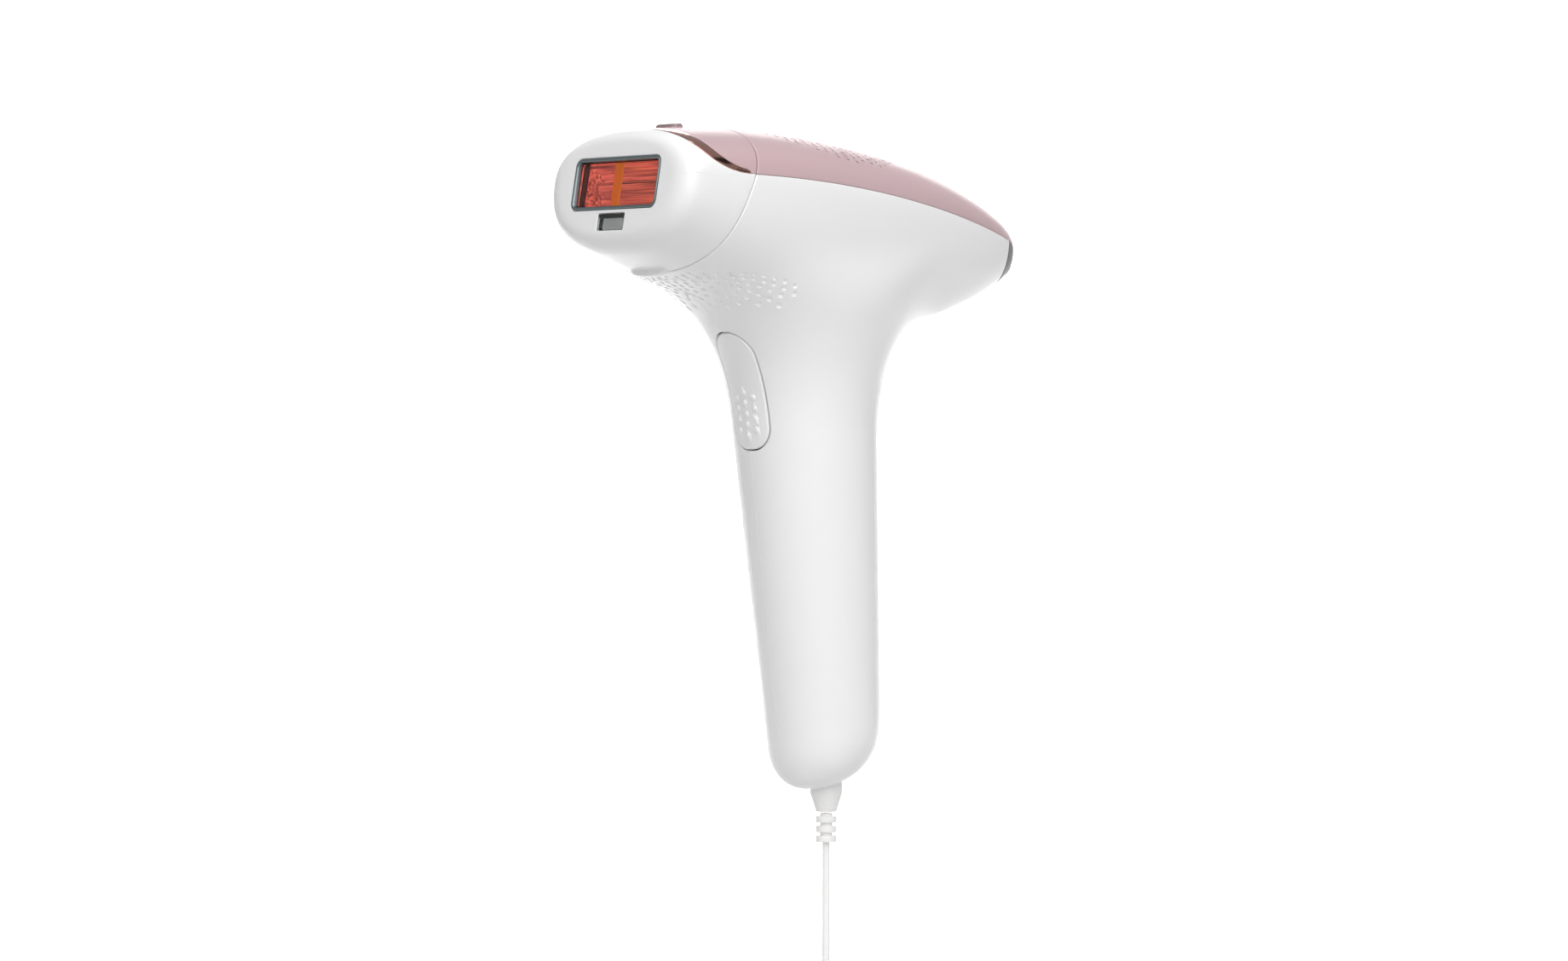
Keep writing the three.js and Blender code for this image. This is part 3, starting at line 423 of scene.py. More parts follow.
def body_field(p):
    """Below zero inside the body, and about a distance in millimetres near its surface."""
    hull = soft_min(head_field(p), handle_field(p), NECK_FILLET)
    depth = -(p[..., 1] - FACE_Y) * math.cos(FACE_PITCH) + (p[..., 2] - FACE_Z) * math.sin(FACE_PITCH)
    return soft_max(hull, depth + FACE_SKIM, FACE_EDGE)


def slopes(p, field=body_field, step=0.01):
    columns = []
    for axis in range(3):
        shift = np.zeros(3)
        shift[axis] = step
        columns.append((field(p + shift) - field(p - shift)) / (2 * step))
    return joined(*columns)


def normals_at(p):
    gradient = slopes(p)
    return gradient / np.linalg.norm(gradient, axis=-1, keepdims=True)


def cast_rays(origins, directions):
    """Where each ray from inside the body first leaves it."""
    directions = directions / np.linalg.norm(directions, axis=1, keepdims=True)
    near = np.zeros(len(origins))
    far = np.full(len(origins), 2.0)
    for _ in range(60):
        inside = body_field(origins + directions * far[:, None]) < 0
        if not inside.any():
            break
        near = np.where(inside, far, near)
        far = np.where(inside, far + 2, far)
    for _ in range(26):
        middle = (near + far) / 2
        inside = body_field(origins + directions * middle[:, None]) < 0
        near = np.where(inside, middle, near)
        far = np.where(inside, far, middle)
    return origins + directions * far[:, None]


def trace_body(columns=240, dome=88, swing=40, column=40, foot=16):
    """A closed triangle mesh of the body, from rings of rays: a dome over the head, the handle and its foot.

    Each ring has its height on the middle axis and its rays' reach in X, in Y and upwards. The rings of the
    swing turn the dome's last one into the handle's first. One side's triangles mirror the other's.
    """
    rays = []
    for angle in np.linspace(90, -45, dome + 1)[1:] * DEGREE:
        rays.append((RAYS_TOP, 32 * math.cos(angle), 77 * math.cos(angle), 28 * math.sin(angle)))
    last = np.array(rays[-1])
    for t in np.linspace(0, 1, swing + 1)[1:]:
        rays.append(tuple(last + (np.array((RAYS_NECK, 30, 30, 0)) - last) * t))
    for z in np.linspace(RAYS_NECK, RAYS_FOOT, column + 1)[1:]:
        rays.append((z, 1, 1, 0))
    for angle in np.linspace(0, -90, foot + 2)[1:-1] * DEGREE:
        rays.append((RAYS_FOOT, math.cos(angle), math.cos(angle), math.sin(angle)))
    rays = np.array(rays)
    turn = np.linspace(0, 2 * math.pi, columns, endpoint=False)
    z = np.repeat(rays[:, 0], columns)
    axis_y = np.where(z > RAYS_NECK, 0, handle_axis_y(z))
    directions = joined(
        np.outer(rays[:, 1], np.sin(turn)).ravel(),
        -np.outer(rays[:, 2], np.cos(turn)).ravel(),
        np.repeat(rays[:, 3], columns),
    )
    top = cast_rays(np.array([[0, 0, RAYS_TOP]]), np.array([[0, 0, 1.0]]))
    bottom = cast_rays(np.array([[0, handle_axis_y(RAYS_FOOT), RAYS_FOOT]]), np.array([[0, 0, -1.0]]))
    points = np.concatenate([top, cast_rays(joined(0, axis_y, z), directions), bottom])

    row, place = np.meshgrid(np.arange(len(rays) - 1), np.arange(columns), indexing="ij")
    following = (place + 1) % columns
    a, b = 1 + row * columns + place, 1 + (row + 1) * columns + place
    c, d = 1 + (row + 1) * columns + following, 1 + row * columns + following
    mirrored = (place >= columns // 2)[..., None]
    first = np.where(mirrored, joined(a, b, d), joined(a, b, c)).reshape(-1, 3)
    second = np.where(mirrored, joined(b, c, d), joined(a, c, d)).reshape(-1, 3)
    ring = np.arange(columns)
    after = (ring + 1) % columns
    low = 1 + (len(rays) - 1) * columns
    cap_top = joined(0, 1 + ring, 1 + after)
    cap_bottom = joined(low + ring, len(points) - 1, low + after)
    return points, np.concatenate([cap_top, first, second, cap_bottom])


# ---------------------------------------------------------------- seams, as distances in millimetres

def in_nose(p):
    """Places on the window's own axes: X across, Y straight in from the face, Z up the face."""
    y = p[..., 1] - (FACE_Y + WINDOW_RISE * math.sin(FACE_PITCH))
    z = p[..., 2] - (FACE_Z + WINDOW_RISE * math.cos(FACE_PITCH))
    cos, sin = math.cos(FACE_PITCH), math.sin(FACE_PITCH)
    return joined(p[..., 0], y * cos - z * sin, y * sin + z * cos)


def from_nose(p):
    cos, sin = math.cos(FACE_PITCH), math.sin(FACE_PITCH)
    y = p[..., 1] * cos + p[..., 2] * sin + FACE_Y + WINDOW_RISE * sin
    z = -p[..., 1] * sin + p[..., 2] * cos + FACE_Z + WINDOW_RISE * cos
    return joined(p[..., 0], y, z)


def rounded_box_distance(u, v, half_u, half_v, corner):
    """Below zero inside a rounded rectangle."""
    du = np.abs(u) - (half_u - corner)
    dv = np.abs(v) - (half_v - corner)
    outside = np.hypot(np.maximum(du, 0), np.maximum(dv, 0))
    return outside + np.minimum(np.maximum(du, dv), 0) - corner


def ahead_of_parting(p):
    y, z = p[..., 1] - PARTING_Y, p[..., 2] - PARTING_Z
    return -y * math.cos(PARTING_TILT) + z * math.sin(PARTING_TILT)


def above_split(p):
    slope = -2 * SPLIT_DROP * (p[..., 1] - SPLIT_Y)
    height = p[..., 2] - (SPLIT_Z - SPLIT_DROP * (p[..., 1] - SPLIT_Y) ** 2)
    return height / np.hypot(1, slope)


def inside_trim(p, edge):
    """Above and behind a quarter of an ellipse, seen from the side."""
    y = np.minimum(p[..., 1] - edge["y"], 0)
    z = np.minimum(p[..., 2] - edge["z"], 0)
    ring = np.hypot(y / edge["length"], z / edge["height"])
    steepness = np.hypot(y / edge["length"] ** 2, z / edge["height"] ** 2)
    curved = (1 - ring) * np.maximum(ring, 1e-6) / np.maximum(steepness, 1e-6)
    return np.where(ring > 1e-6, curved, edge["height"])


def inside_trim_upper(p):
    return soft_max(inside_trim(p, TRIM_UPPER), p[..., 1] - TRIM_END_Y, TRIM_END_ROUNDING)


def outside_trigger(p):
    middle, half = middle_and_half(TRIGGER_BOTTOM, TRIGGER_TOP)
    distance = rounded_box_distance(p[..., 0], p[..., 2] - middle, TRIGGER_HALF_WIDTH, half, TRIGGER_CORNER)
    return np.where(p[..., 1] < -8, distance, FAR_AWAY)


def behind_rear_seam(p):
    return (p[..., 1] - REAR_Y - REAR_SLOPE * (p[..., 2] - REAR_Z)) / math.hypot(1, REAR_SLOPE)


def outside_hole_in_face(p, half_u, half_v, corner, middle=0.0):
    """Outside a rounded rectangle on the window's own axes, near the face."""
    local = in_nose(p)
    distance = rounded_box_distance(local[..., 0], local[..., 2] - middle, half_u, half_v, corner)
    return np.where(np.abs(local[..., 1]) < 4, distance, FAR_AWAY)


def outside_window(p):
    return outside_hole_in_face(
        p, WINDOW_HALF_WIDTH + WINDOW_RIM, WINDOW_HALF_HEIGHT + WINDOW_RIM, WINDOW_CORNER + WINDOW_RIM,
    )


def outside_sensor(p):
    middle, half = middle_and_half(SENSOR_BOTTOM, SENSOR_TOP)
    return outside_hole_in_face(p, SENSOR_HALF_WIDTH, half, 0.6, middle)


def outside_button(p):
    y, z = p[..., 1] - BUTTON_Y, p[..., 2] - BUTTON_Z
    rise = y * math.sin(BUTTON_PITCH) + z * math.cos(BUTTON_PITCH)
    ring = np.hypot(p[..., 0] / BUTTON_HALF_WIDTH, rise / BUTTON_HALF_HEIGHT)
    distance = (ring - 1) * BUTTON_HALF_HEIGHT
    return np.where(p[..., 1] > 70, distance, FAR_AWAY)


def outside_lights(p):
    nearest = np.full(p.shape[:-1], FAR_AWAY)
    for place in range(-2, 3):
        x, z = p[..., 0] - place * LIGHT_PITCH, p[..., 2] - LIGHTS_Z
        nearest = np.minimum(nearest, rounded_box_distance(x, z, LIGHT_HALF, LIGHT_HALF, 0.2))
    return np.where(p[..., 1] > 74, nearest, FAR_AWAY)


# Each seam: its distance, half its gap and the radius of the edges beside it.
SEAMS = {
    "parting": (ahead_of_parting, 0.13, 0.4),
    "split": (above_split, 0.06, 0.25),
    "trim_lower": (lambda p: inside_trim(p, TRIM_LOWER), 0.04, 0.2),
    "trim_upper": (inside_trim_upper, 0.04, 0.2),
    "middle": (lambda p: p[..., 0], 0.03, 0.1),
    "trigger": (outside_trigger, 0.22, 0.5),
    "rear": (behind_rear_seam, 0.08, 0.3),
    "window": (outside_window, 0.05, 0.35),
    "sensor": (outside_sensor, 0.05, 0.25),
    "button": (outside_button, 0.12, 0.3),
    "lights": (outside_lights, 0.05, 0.1),
}

# Each piece's CAD body and material, and the sides of its seams: +1 where the seam's distance is above zero.
PIECES = {
    "attachment_shell": (
        "attachment", "gloss_white", {"parting": 1, "trim_lower": -1, "window": 1, "sensor": 1},
    ),
    "attachment_trim": ("attachment", "rose_gold", {"parting": 1, "trim_lower": 1, "trim_upper": -1}),
    "attachment_cover": ("attachment", "pearl_pink", {"parting": 1, "trim_lower": 1, "trim_upper": 1}),
    "top_cover": ("handset", "pearl_pink", {"parting": -1, "split": 1}),
    "shell_left": (
        "handset", "gloss_white", {"parting": -1, "split": -1, "middle": -1, "trigger": 1, "rear": -1},
    ),
    "shell_right": (
        "handset", "gloss_white", {"parting": -1, "split": -1, "middle": 1, "trigger": 1, "rear": -1},
    ),
    "flash_trigger": ("trigger", "gloss_white", {"parting": -1, "trigger": -1}),
    "rear_panel": ("handset", "dark_grey", {"split": -1, "rear": 1, "button": 1, "lights": 1}),
    "power_button": ("power_button", "pale_grey", {"split": -1, "rear": 1, "button": -1}),
    "intensity_lights": ("handset", "clear_glass", {"split": -1, "rear": 1, "lights": -1}),
}


# ---------------------------------------------------------------- triangle meshes

def side_ends(triangles, side):
    return triangles[:, side], triangles[:, (side + 1) % 3]


def edge_keys(start, end, count):
    return np.minimum(start, end).astype(np.int64) * count + np.maximum(start, end)


def split_edges(points, triangles, edges, added):
    """Puts a new point on each edge and splits every triangle round it, with no gaps."""
    count = len(points)
    keys = edge_keys(*edges.T, count)
    order = np.argsort(keys)
    keys = keys[order]
    touched = np.zeros(count, bool)
    touched[edges.ravel()] = True
    corners = touched[triangles]
    close = corners[:, 0] & corners[:, 1] | corners[:, 1] & corners[:, 2] | corners[:, 2] & corners[:, 0]
    result = [triangles[~close]]
    triangles = triangles[close]
    found = np.full(triangles.shape, -1)
    for side in range(3):
        wanted = edge_keys(*side_ends(triangles, side), count)
        spot = np.minimum(np.searchsorted(keys, wanted), len(keys) - 1)
        hit = keys[spot] == wanted
        found[hit, side] = count + order[spot[hit]]
    splits = (found >= 0).sum(axis=1)
    result.append(triangles[splits == 0])

    def turned(chosen, shift):
        rows = np.arange(len(chosen))[:, None]
        columns = (np.arange(3)[None] + shift[:, None]) % 3
        return triangles[chosen][rows, columns], found[chosen][rows, columns]

    one, two, three = (np.flatnonzero(splits == number) for number in (1, 2, 3))
    if len(one):
        corners, middles = turned(one, np.argmax(found[one] >= 0, axis=1))
        a, b, c = corners.T
        m = middles[:, 0]
        result += [joined(a, m, c), joined(m, b, c)]
    if len(two):
        corners, middles = turned(two, (np.argmax(found[two] < 0, axis=1) + 1) % 3)
        a, b, c = corners.T
        m, k = middles[:, 0], middles[:, 1]
        result += [joined(b, k, m), joined(a, m, k), joined(a, k, c)]
    if len(three):
        a, b, c = triangles[three].T
        m, k, n = found[three].T
        result += [joined(a, m, n), joined(m, b, k), joined(n, k, c), joined(m, k, n)]
    return np.concatenate([points, added]), np.concatenate(result)


def unique_edges(triangles, chosen, count):
    edges = np.concatenate([joined(*side_ends(triangles, side))[chosen[side]] for side in range(3)])
    _, first = np.unique(edge_keys(*edges.T, count), return_index=True)
    return edges[first]


def cut(points, triangles, values):
    """Adds points wherever the values given at the points cross zero."""
    values = np.where(np.abs(values) < 0.01, 0, values)
    sign = np.sign(values)[triangles]
    chosen = [np.multiply(*side_ends(sign, side)) < 0 for side in range(3)]
    if not any(side.any() for side in chosen):
        return points, triangles
    edges = unique_edges(triangles, chosen, len(points))
    start, end = values[edges].T
    t = (start / (start - end))[:, None]
    added = points[edges[:, 0]] * (1 - t) + points[edges[:, 1]] * t
    return split_edges(points, triangles, edges, added)


def refine(points, triangles, near, longest):
    """Halves the edges that are longer than a length, where their middles are near a detail."""
    for _ in range(5):
        chosen = []
        for side in range(3):
            start, end = (points[corners] for corners in side_ends(triangles, side))
            long = np.linalg.norm(end - start, axis=1) > longest
            long[long] = near((start[long] + end[long]) / 2)
            chosen.append(long)
        if not any(side.any() for side in chosen):
            break
        edges = unique_edges(triangles, chosen, len(points))
        added = (points[edges[:, 0]] + points[edges[:, 1]]) / 2
        points, triangles = split_edges(points, triangles, edges, added)
    return points, triangles


def settled(points):
    """The points moved straight onto the body's surface."""
    for _ in range(2):
        gradient = slopes(points)
        points = points - gradient * (body_field(points) / (gradient**2).sum(axis=1))[:, None]
    return points


def kept(points, triangles, chosen):
    triangles = triangles[chosen]
    used, triangles = np.unique(triangles, return_inverse=True)
    return points[used], triangles.reshape(-1, 3)


def boundary_edges(triangles):
    edges = np.concatenate([joined(*side_ends(triangles, side)) for side in range(3)])
    keys = edge_keys(*edges.T, triangles.max() + 1)
    _, first, times = np.unique(keys, return_index=True, return_counts=True)
    return edges[first[times == 1]]


def thickened(outer, inner, triangles):
    """A closed wall between an outer and an inner copy of the same triangles."""
    count = len(outer)
    a, b = boundary_edges(triangles).T
    walls = [joined(b, a, a + count), joined(b, a + count, b + count)]
    faces = np.concatenate([triangles, triangles[:, ::-1] + count, *walls])
    return np.concatenate([outer, inner]), faces


def make_piece(name, points, faces, look, slot=None, body="handset", node=None, sharp=40):
    """A piece from points in millimetres, in place of the CAD node given or the one of its own name."""
    mesh = smooth_mesh(name, points, faces)
    mesh.set_sharp_from_angle(angle=sharp * DEGREE)
    mesh.materials.append(MATERIALS[look])
    piece = add_object(name, mesh)
    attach(piece, body)
    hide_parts(node or name)
    return piece


# ---------------------------------------------------------------- surface details

def under_vents():
    """The air holes under the head and their radii: ovals round the neck, larger towards the handle."""
    places = []
    for ring, (step, start) in enumerate(zip(UNDER_VENT_STEPS, UNDER_VENT_STARTS)):
        across, ahead = (
            first - less * ring - more * ring**2
            for first, less, more in (UNDER_VENT_ACROSS, UNDER_VENT_AHEAD)
        )
        for count in range(14):
            even = (count + start) * step
            angle = (min(even, 60) + 0.78 * max(even - 60, 0)) * DEGREE
            if angle > UNDER_VENT_LAST_ANGLE * DEGREE:
                continue
            for side in (1,) if even == 0 else (-1, 1):
                places.append((side * across * math.sin(angle), UNDER_VENT_Y - ahead * math.cos(angle)))
    x, y = np.array(places).T
    origins = joined(x * 0.55, y * 0.55 - 12, RAYS_TOP)
    spots = cast_rays(origins, joined(x, y, 74.0) - origins)
    clear = ahead_of_parting(spots) < -UNDER_VENT_PARTING_MARGIN
    spots = spots[clear & (spots[:, 2] > UNDER_VENT_LOWEST) & (spots[:, 1] < UNDER_VENT_HINDMOST)]
    drop = np.maximum(UNDER_VENT_GROWTH_Z - spots[:, 2], 0)
    return spots, UNDER_VENT_RADIUS + UNDER_VENT_GROWTH * drop


def top_vents():
    """The air holes on top of the head: rows that fan out towards the edge of an oval."""
    places = []
    for row in range(-10, 10):
        for column in range(-12, 13):
            x = column * TOP_VENT_PITCH
            y = -2 + row * TOP_VENT_ROW * (1 + TOP_FIELD_FAN * x**2) / 1.35
            if (x / TOP_FIELD_HALF_WIDTH) ** 2 + ((y - TOP_FIELD_Y) / TOP_FIELD_HALF_LENGTH) ** 2 < 1:
                places.append((x, y))
    x, y = np.array(places).T
    origins = joined(x * 0.7, y, 95.0)
    return cast_rays(origins, joined(x, y, 113.0) - origins), np.full(len(x), TOP_VENT_RADIUS)


def trigger_bumps():
    """Raised dots on the trigger: a middle column, and one beside it on each side, half a step down."""
    places = [(0.0, BUMP_TOP - BUMP_PITCH * step) for step in range(5)]
    for side in (-1, 1):
        places += [(side * BUMP_SIDE_X, BUMP_SIDE_TOP - BUMP_PITCH * step) for step in range(4)]
    x, z = np.array(places).T
    return cast_rays(joined(x, 0.0, z), joined(0 * x, -1.0, 0.0)), np.full(len(x), BUMP_RADIUS)


def share_of_spots(spots, radii, points):
    """How far each point is from the nearest spot's middle, as a share of that spot's radius, up to 2."""
    nearest = np.full(len(points), 2.0)
    reach = 2 * radii.max()
    low, high = spots.min(axis=0) - reach, spots.max(axis=0) + reach
    near = np.flatnonzero(np.all((points > low) & (points < high), axis=1))
    places = points[near]
    for spot, radius in zip(spots, radii):
        close = np.flatnonzero(np.abs(places[:, 0] - spot[0]) < 2 * radius)
        close = close[np.abs(places[close, 1] - spot[1]) < 2 * radius]
        share = np.linalg.norm(places[close] - spot, axis=1) / radius
        nearest[near[close]] = np.minimum(nearest[near[close]], share)
    return nearest


def near_spots(spots, radii):
    return lambda points: share_of_spots(spots, radii, points) < 1.3


def edge_drop(distance, radius):
    """How far a rounded edge falls below the surface, this far in from it."""
    across = np.clip(radius - distance, 0, radius)
    return radius - np.sqrt(radius**2 - across**2)


def cut_seams(points, triangles):
    for field, half_gap, radius in SEAMS.values():
        for share in (0, 0.08, 0.3, 0.62, 1):
            for side in (-1, 1):
                level = side * (half_gap + share * radius)
                points, triangles = cut(points, triangles, field(points) - level)
    return points, triangles


def refine_details(points, triangles):
    small = [
        (lambda p: np.abs(outside_window(p)) < 2.5, 0.55),
        (lambda p: np.abs(outside_sensor(p)) < 1.5, 0.4),
        (lambda p: np.abs(outside_trigger(p)) < 1.5, 0.7),
        (lambda p: (np.abs(ahead_of_parting(p)) < 1) & (p[:, 2] > 60), 0.8),
        (lambda p: (p[:, 1] > 68) & (p[:, 2] < 90), 0.5),
        (lambda p: (np.abs(p[:, 0]) < 8) & (np.abs(p[:, 1] - TAB_Y) < 4) & (p[:, 2] > 110), 0.35),
        (lambda p: (np.abs(p[:, 0]) < 10) & (p[:, 2] < 80) & (p[:, 1] < -58), 0.45),
    ]
    for near, longest in small:
        points, triangles = refine(points, triangles, near, longest)
    return points, triangles


def tab_distance(p):
    """Outside the pull tab on top of the attachment."""
    flat = rounded_box_distance(p[..., 0], p[..., 1] - TAB_Y, TAB_HALF_WIDTH, TAB_HALF_LENGTH, TAB_CORNER)
    return np.where(p[..., 2] > 110, flat, FAR_AWAY)


def raise_tab(points):
    climb = np.clip(-tab_distance(points) / TAB_EDGE, 0, 1)
    return TAB_HEIGHT * np.sqrt(climb * (2 - climb))


def raise_lip(points):
    """A crescent that swells out of the attachment's underside and stops at the parting."""
    crescent = np.sqrt(np.clip(1 - (points[:, 0] / LIP_HALF_WIDTH) ** 4, 0, 1))
    run = np.clip((LIP_LENGTH - ahead_of_parting(points)) / 0.7, 0, 1)
    low = points[:, 2] < 82
    return np.where(low, LIP_HEIGHT * crescent * run * run * (3 - 2 * run), 0)


def dome(share, height):
    """A round swelling or hollow, at this share of its radius from the middle."""
    return height * np.sqrt(np.clip(1 - share**2, 0, 1))


def sink_top_vent(share):
    """A hole with sloping sides and a flat floor."""
    return TOP_VENT_DEPTH * np.clip((1 - share) / (1 - TOP_VENT_FLOOR), 0, 1)


def build_body():
    """Every piece of the outer body, with the detail that its surface carries."""
    under, above, bumps = under_vents(), top_vents(), trigger_bumps()
    points, triangles = trace_body()
    points, triangles = refine_details(points, triangles)
    for spots, longest in ((under, 0.42), (above, 0.45), (bumps, 0.33)):
        points, triangles = refine(points, triangles, near_spots(*spots), longest)
    points = settled(points)
    points, triangles = cut_seams(points, triangles)
    for spots, shares in ((under, (1, 0.85, 0.6, 0.3)), (above, (1, 0.8))):
        for share in shares:
            points, triangles = cut(points, triangles, share_of_spots(*spots, points) - share)
    for level in (0.0, 0.2, 0.5, TAB_EDGE):
        points, triangles = cut(points, triangles, tab_distance(points) + level)
    points = settled(points)
    distances = {name: field(points) for name, (field, _, _) in SEAMS.items()}
    for name, (_, _, sides) in PIECES.items():
        chosen = np.ones(len(triangles), bool)
        for seam, side in sides.items():
            chosen &= distances[seam][triangles].mean(axis=1) * side > SEAMS[seam][1]
        build_panel(name, *kept(points, triangles, chosen), under, above, bumps)


def along_button(surface, normals):
    """The way each point's wall runs: the button's own direction at its edge, the normal further away."""
    axis = np.array((0, math.cos(BUTTON_PITCH), -math.sin(BUTTON_PITCH)))
    share = np.clip(1 - outside_button(surface) / 3, 0, 1)[:, None]
    return normals * (1 - share) + axis * share


def build_panel(name, surface, faces, under, above, bumps):
    """One piece of the body: its surface with rounded edges and its own details, and a wall behind it."""
    body, look, sides = PIECES[name]
    lift = np.zeros(len(surface))
    for seam, side in sides.items():
        field, half_gap, radius = SEAMS[seam]
        lift -= edge_drop(field(surface) * side - half_gap, radius)
    lift = np.maximum(lift, -0.6)
    second_look, share, limit = None, None, 0
    if name == "attachment_cover":
        lift += raise_tab(surface)
        # The pull tab gets a dark pink: painted shade.
        second_look, share, limit = "tab_painted_shade", tab_distance(surface), -0.05
    elif name == "attachment_shell":
        lift += raise_lip(surface)
    elif name == "flash_trigger":
        lift += 0.1 + dome(share_of_spots(*bumps, surface), BUMP_HEIGHT)
    elif name == "power_button":
        lift += 0.5
    elif name in ("shell_left", "shell_right"):
        # The insides of the air holes under the head get a whiter white: painted highlight.
        second_look, share, limit = "vent_painted_highlight", share_of_spots(*under, surface), 0.95
        lift -= dome(share, UNDER_VENT_DEPTH)
    elif name == "top_cover":
        # The insides of the holes on top get a near black: painted shade.
        second_look, share, limit = "vent_painted_shade", share_of_spots(*above, surface), 0.9
        lift -= sink_top_vent(share)
    outward = normals_at(surface)
    if name in ("rear_panel", "power_button"):
        outward = along_button(surface, outward)
    solid, walls = thickened(surface + outward * lift[:, None], surface - outward * WALL, faces)
    node = "intensity_light_guide" if name == "intensity_lights" else name
    piece = make_piece(name, solid, walls, look, body=body, node=node)
    if second_look:
        piece.data.materials.append(MATERIALS[second_look])
        index = np.zeros(len(walls), np.int32)
        index[:len(faces)] = share[faces].mean(axis=1) < limit
        piece.data.polygons.foreach_set("material_index", index)


# ---------------------------------------------------------------- small solids

def ring_faces(low, high, size):
    """The faces between two rings of points, from the first point's number in each."""
    return [(low + i, low + (i + 1) % size, high + (i + 1) % size, high + i) for i in range(size)]


def turned_solid(profile, segments=64):
    """A piece turned on the Z axis, from radii and heights that start and end on the axis."""
    turn = np.linspace(0, 2 * math.pi, segments, endpoint=False)
    rings = [joined(radius * np.cos(turn), radius * np.sin(turn), height) for radius, height in profile[1:-1]]
    points = np.concatenate([[(0, 0, profile[0][1])], *rings, [(0, 0, profile[-1][1])]])
    faces = []
    for ring in range(len(rings) - 1):
        faces += ring_faces(1 + ring * segments, 1 + (ring + 1) * segments, segments)
    last = len(points) - 1
    for place in range(segments):
        following = (place + 1) % segments
        faces += [(0, 1 + following, 1 + place), (last - segments + place, last - segments + following, last)]
    return points, faces


def rounded_profile(corners, radius, steps=4):
    """The corners of a profile with each inner one rounded off."""
    corners = [np.array(corner, float) for corner in corners]
    result = [corners[0]]
    for before, corner, after in zip(corners, corners[1:], corners[2:]):
        back, ahead = before - corner, after - corner
        reach = min(radius, np.linalg.norm(back) / 2, np.linalg.norm(ahead) / 2)
        start = corner + back / np.linalg.norm(back) * reach
        end = corner + ahead / np.linalg.norm(ahead) * reach
        for t in np.linspace(0, 1, steps + 1):
            result.append((1 - t) ** 2 * start + 2 * t * (1 - t) * corner + t**2 * end)
    result.append(corners[-1])
    return result


def outline(half_u, half_v, corner, middle_v=0.0, steps=6):
    """Points round a rounded rectangle, anticlockwise."""
    points = []
    for quarter, (su, sv) in enumerate(((1, 1), (-1, 1), (-1, -1), (1, -1))):
        for t in np.linspace(0, 1, steps + 1):
            angle = (quarter + t) * math.pi / 2
            u = su * (half_u - corner) + corner * math.cos(angle)
            v = sv * (half_v - corner) + corner * math.sin(angle) + middle_v
            points.append((u, v))
    return np.array(points)


def stacked_solid(layers, closed_ends=True):
    """A solid from outlines of equal length, one on the next; without ends the last joins the first."""
    size, count = len(layers[0]), len(layers)
    faces = []
    for layer in range(count - 1 if closed_ends else count):
        faces += ring_faces(layer * size, (layer + 1) % count * size, size)
    if closed_ends:
        faces += [range(size)[::-1], range((count - 1) * size, count * size)]
    return np.concatenate(layers), faces


def nose_solid(section, half_u=WINDOW_HALF_WIDTH, half_v=WINDOW_HALF_HEIGHT, corner=WINDOW_CORNER, middle=0.0,
               closed_ends=True):
    """A solid on the window's axes: a rounded rectangle for each growth and depth of the section."""
    layers = []
    for grow, depth in section:
        ring = outline(half_u + grow, half_v + grow, max(corner + grow, 0.1), middle)
        layers.append(from_nose(joined(ring[:, 0], depth, ring[:, 1])))
    return stacked_solid(layers, closed_ends)


def build_window():
    """The metal frame round the light window, and the clear window over the skin sensor."""
    section = [
        (0.0, 0.6), (0.0, 3.6), (1.08, 3.6), (1.08, 0.3), (1.04, 0.02), (0.85, -0.14), (0.45, -0.1),
        (0.2, 0.1),
    ]
    make_piece("window_frame", *nose_solid(section, closed_ends=False), "bezel", "steel", "attachment")
    middle, half = middle_and_half(SENSOR_BOTTOM, SENSOR_TOP)
    section = [(-1, 2.3), (-0.45, 2.3), (-0.12, 2.2), (-0.05, 0.5), (-0.15, 0.25), (-0.45, 0.12), (-1, 0.12)]
    solid = nose_solid(section, SENSOR_HALF_WIDTH, half, 0.5, middle)
    make_piece("sensor_window", *solid, "sensor_glass", "clear_glass", "attachment")


def build_filter():
    section = [(-1.2, 4.0), (-0.4, 4.0), (-0.15, 3.8), (-0.2, 1.6), (-0.5, 1.45), (-1.2, 1.45)]
    make_piece("filter_glass", *nose_solid(section), "red_glass")


def build_reflector():
    """A trough with fine lengthwise ridges and a flat wall at each end, and a strip across its mouth."""
    half_width, half_height, mouth, back = 19.0, 6.3, 5.6, 13.4
    ridges, ridge_height, wall = 20, 0.42, 0.6
    shape = []
    for step in range(ridges * 2 + 1):
        angle = math.pi * step / (ridges * 2)
        ripple = ridge_height * (step % 2)
        depth = mouth + (back - mouth) * (math.sin(angle) ** 0.8) - ripple
        shape.append((depth, (half_height - ripple) * math.cos(angle)))
    size = len(shape)
    inner = [(x, depth, height) for x in (-half_width, half_width) for depth, height in shape]
    inner = from_nose(np.array(inner))
    faces = [(step, step + 1, size + step + 1, size + step) for step in range(size - 1)]
    triangles = fan_triangles([*faces, range(size)[::-1], range(size, 2 * size)])
    solid, walls = thickened(inner, inner - vertex_normals(inner, triangles) * wall, triangles)
    strip, strip_faces = nose_solid([(0, 5.4), (0, 4.6)], 1.6, 6.2, 0.4)
    faces = [*walls, *([len(solid) + corner for corner in face] for face in strip_faces)]
    points = np.vstack([solid, strip + (STRIP_X, 0, 0)])
    mirror = make_piece("reflector", points, faces, "mirror_metal", sharp=15)
    mirror.data.materials.append(MATERIALS["strip_yellow"])
    for polygon in list(mirror.data.polygons)[len(walls):]:
        polygon.material_index = 1


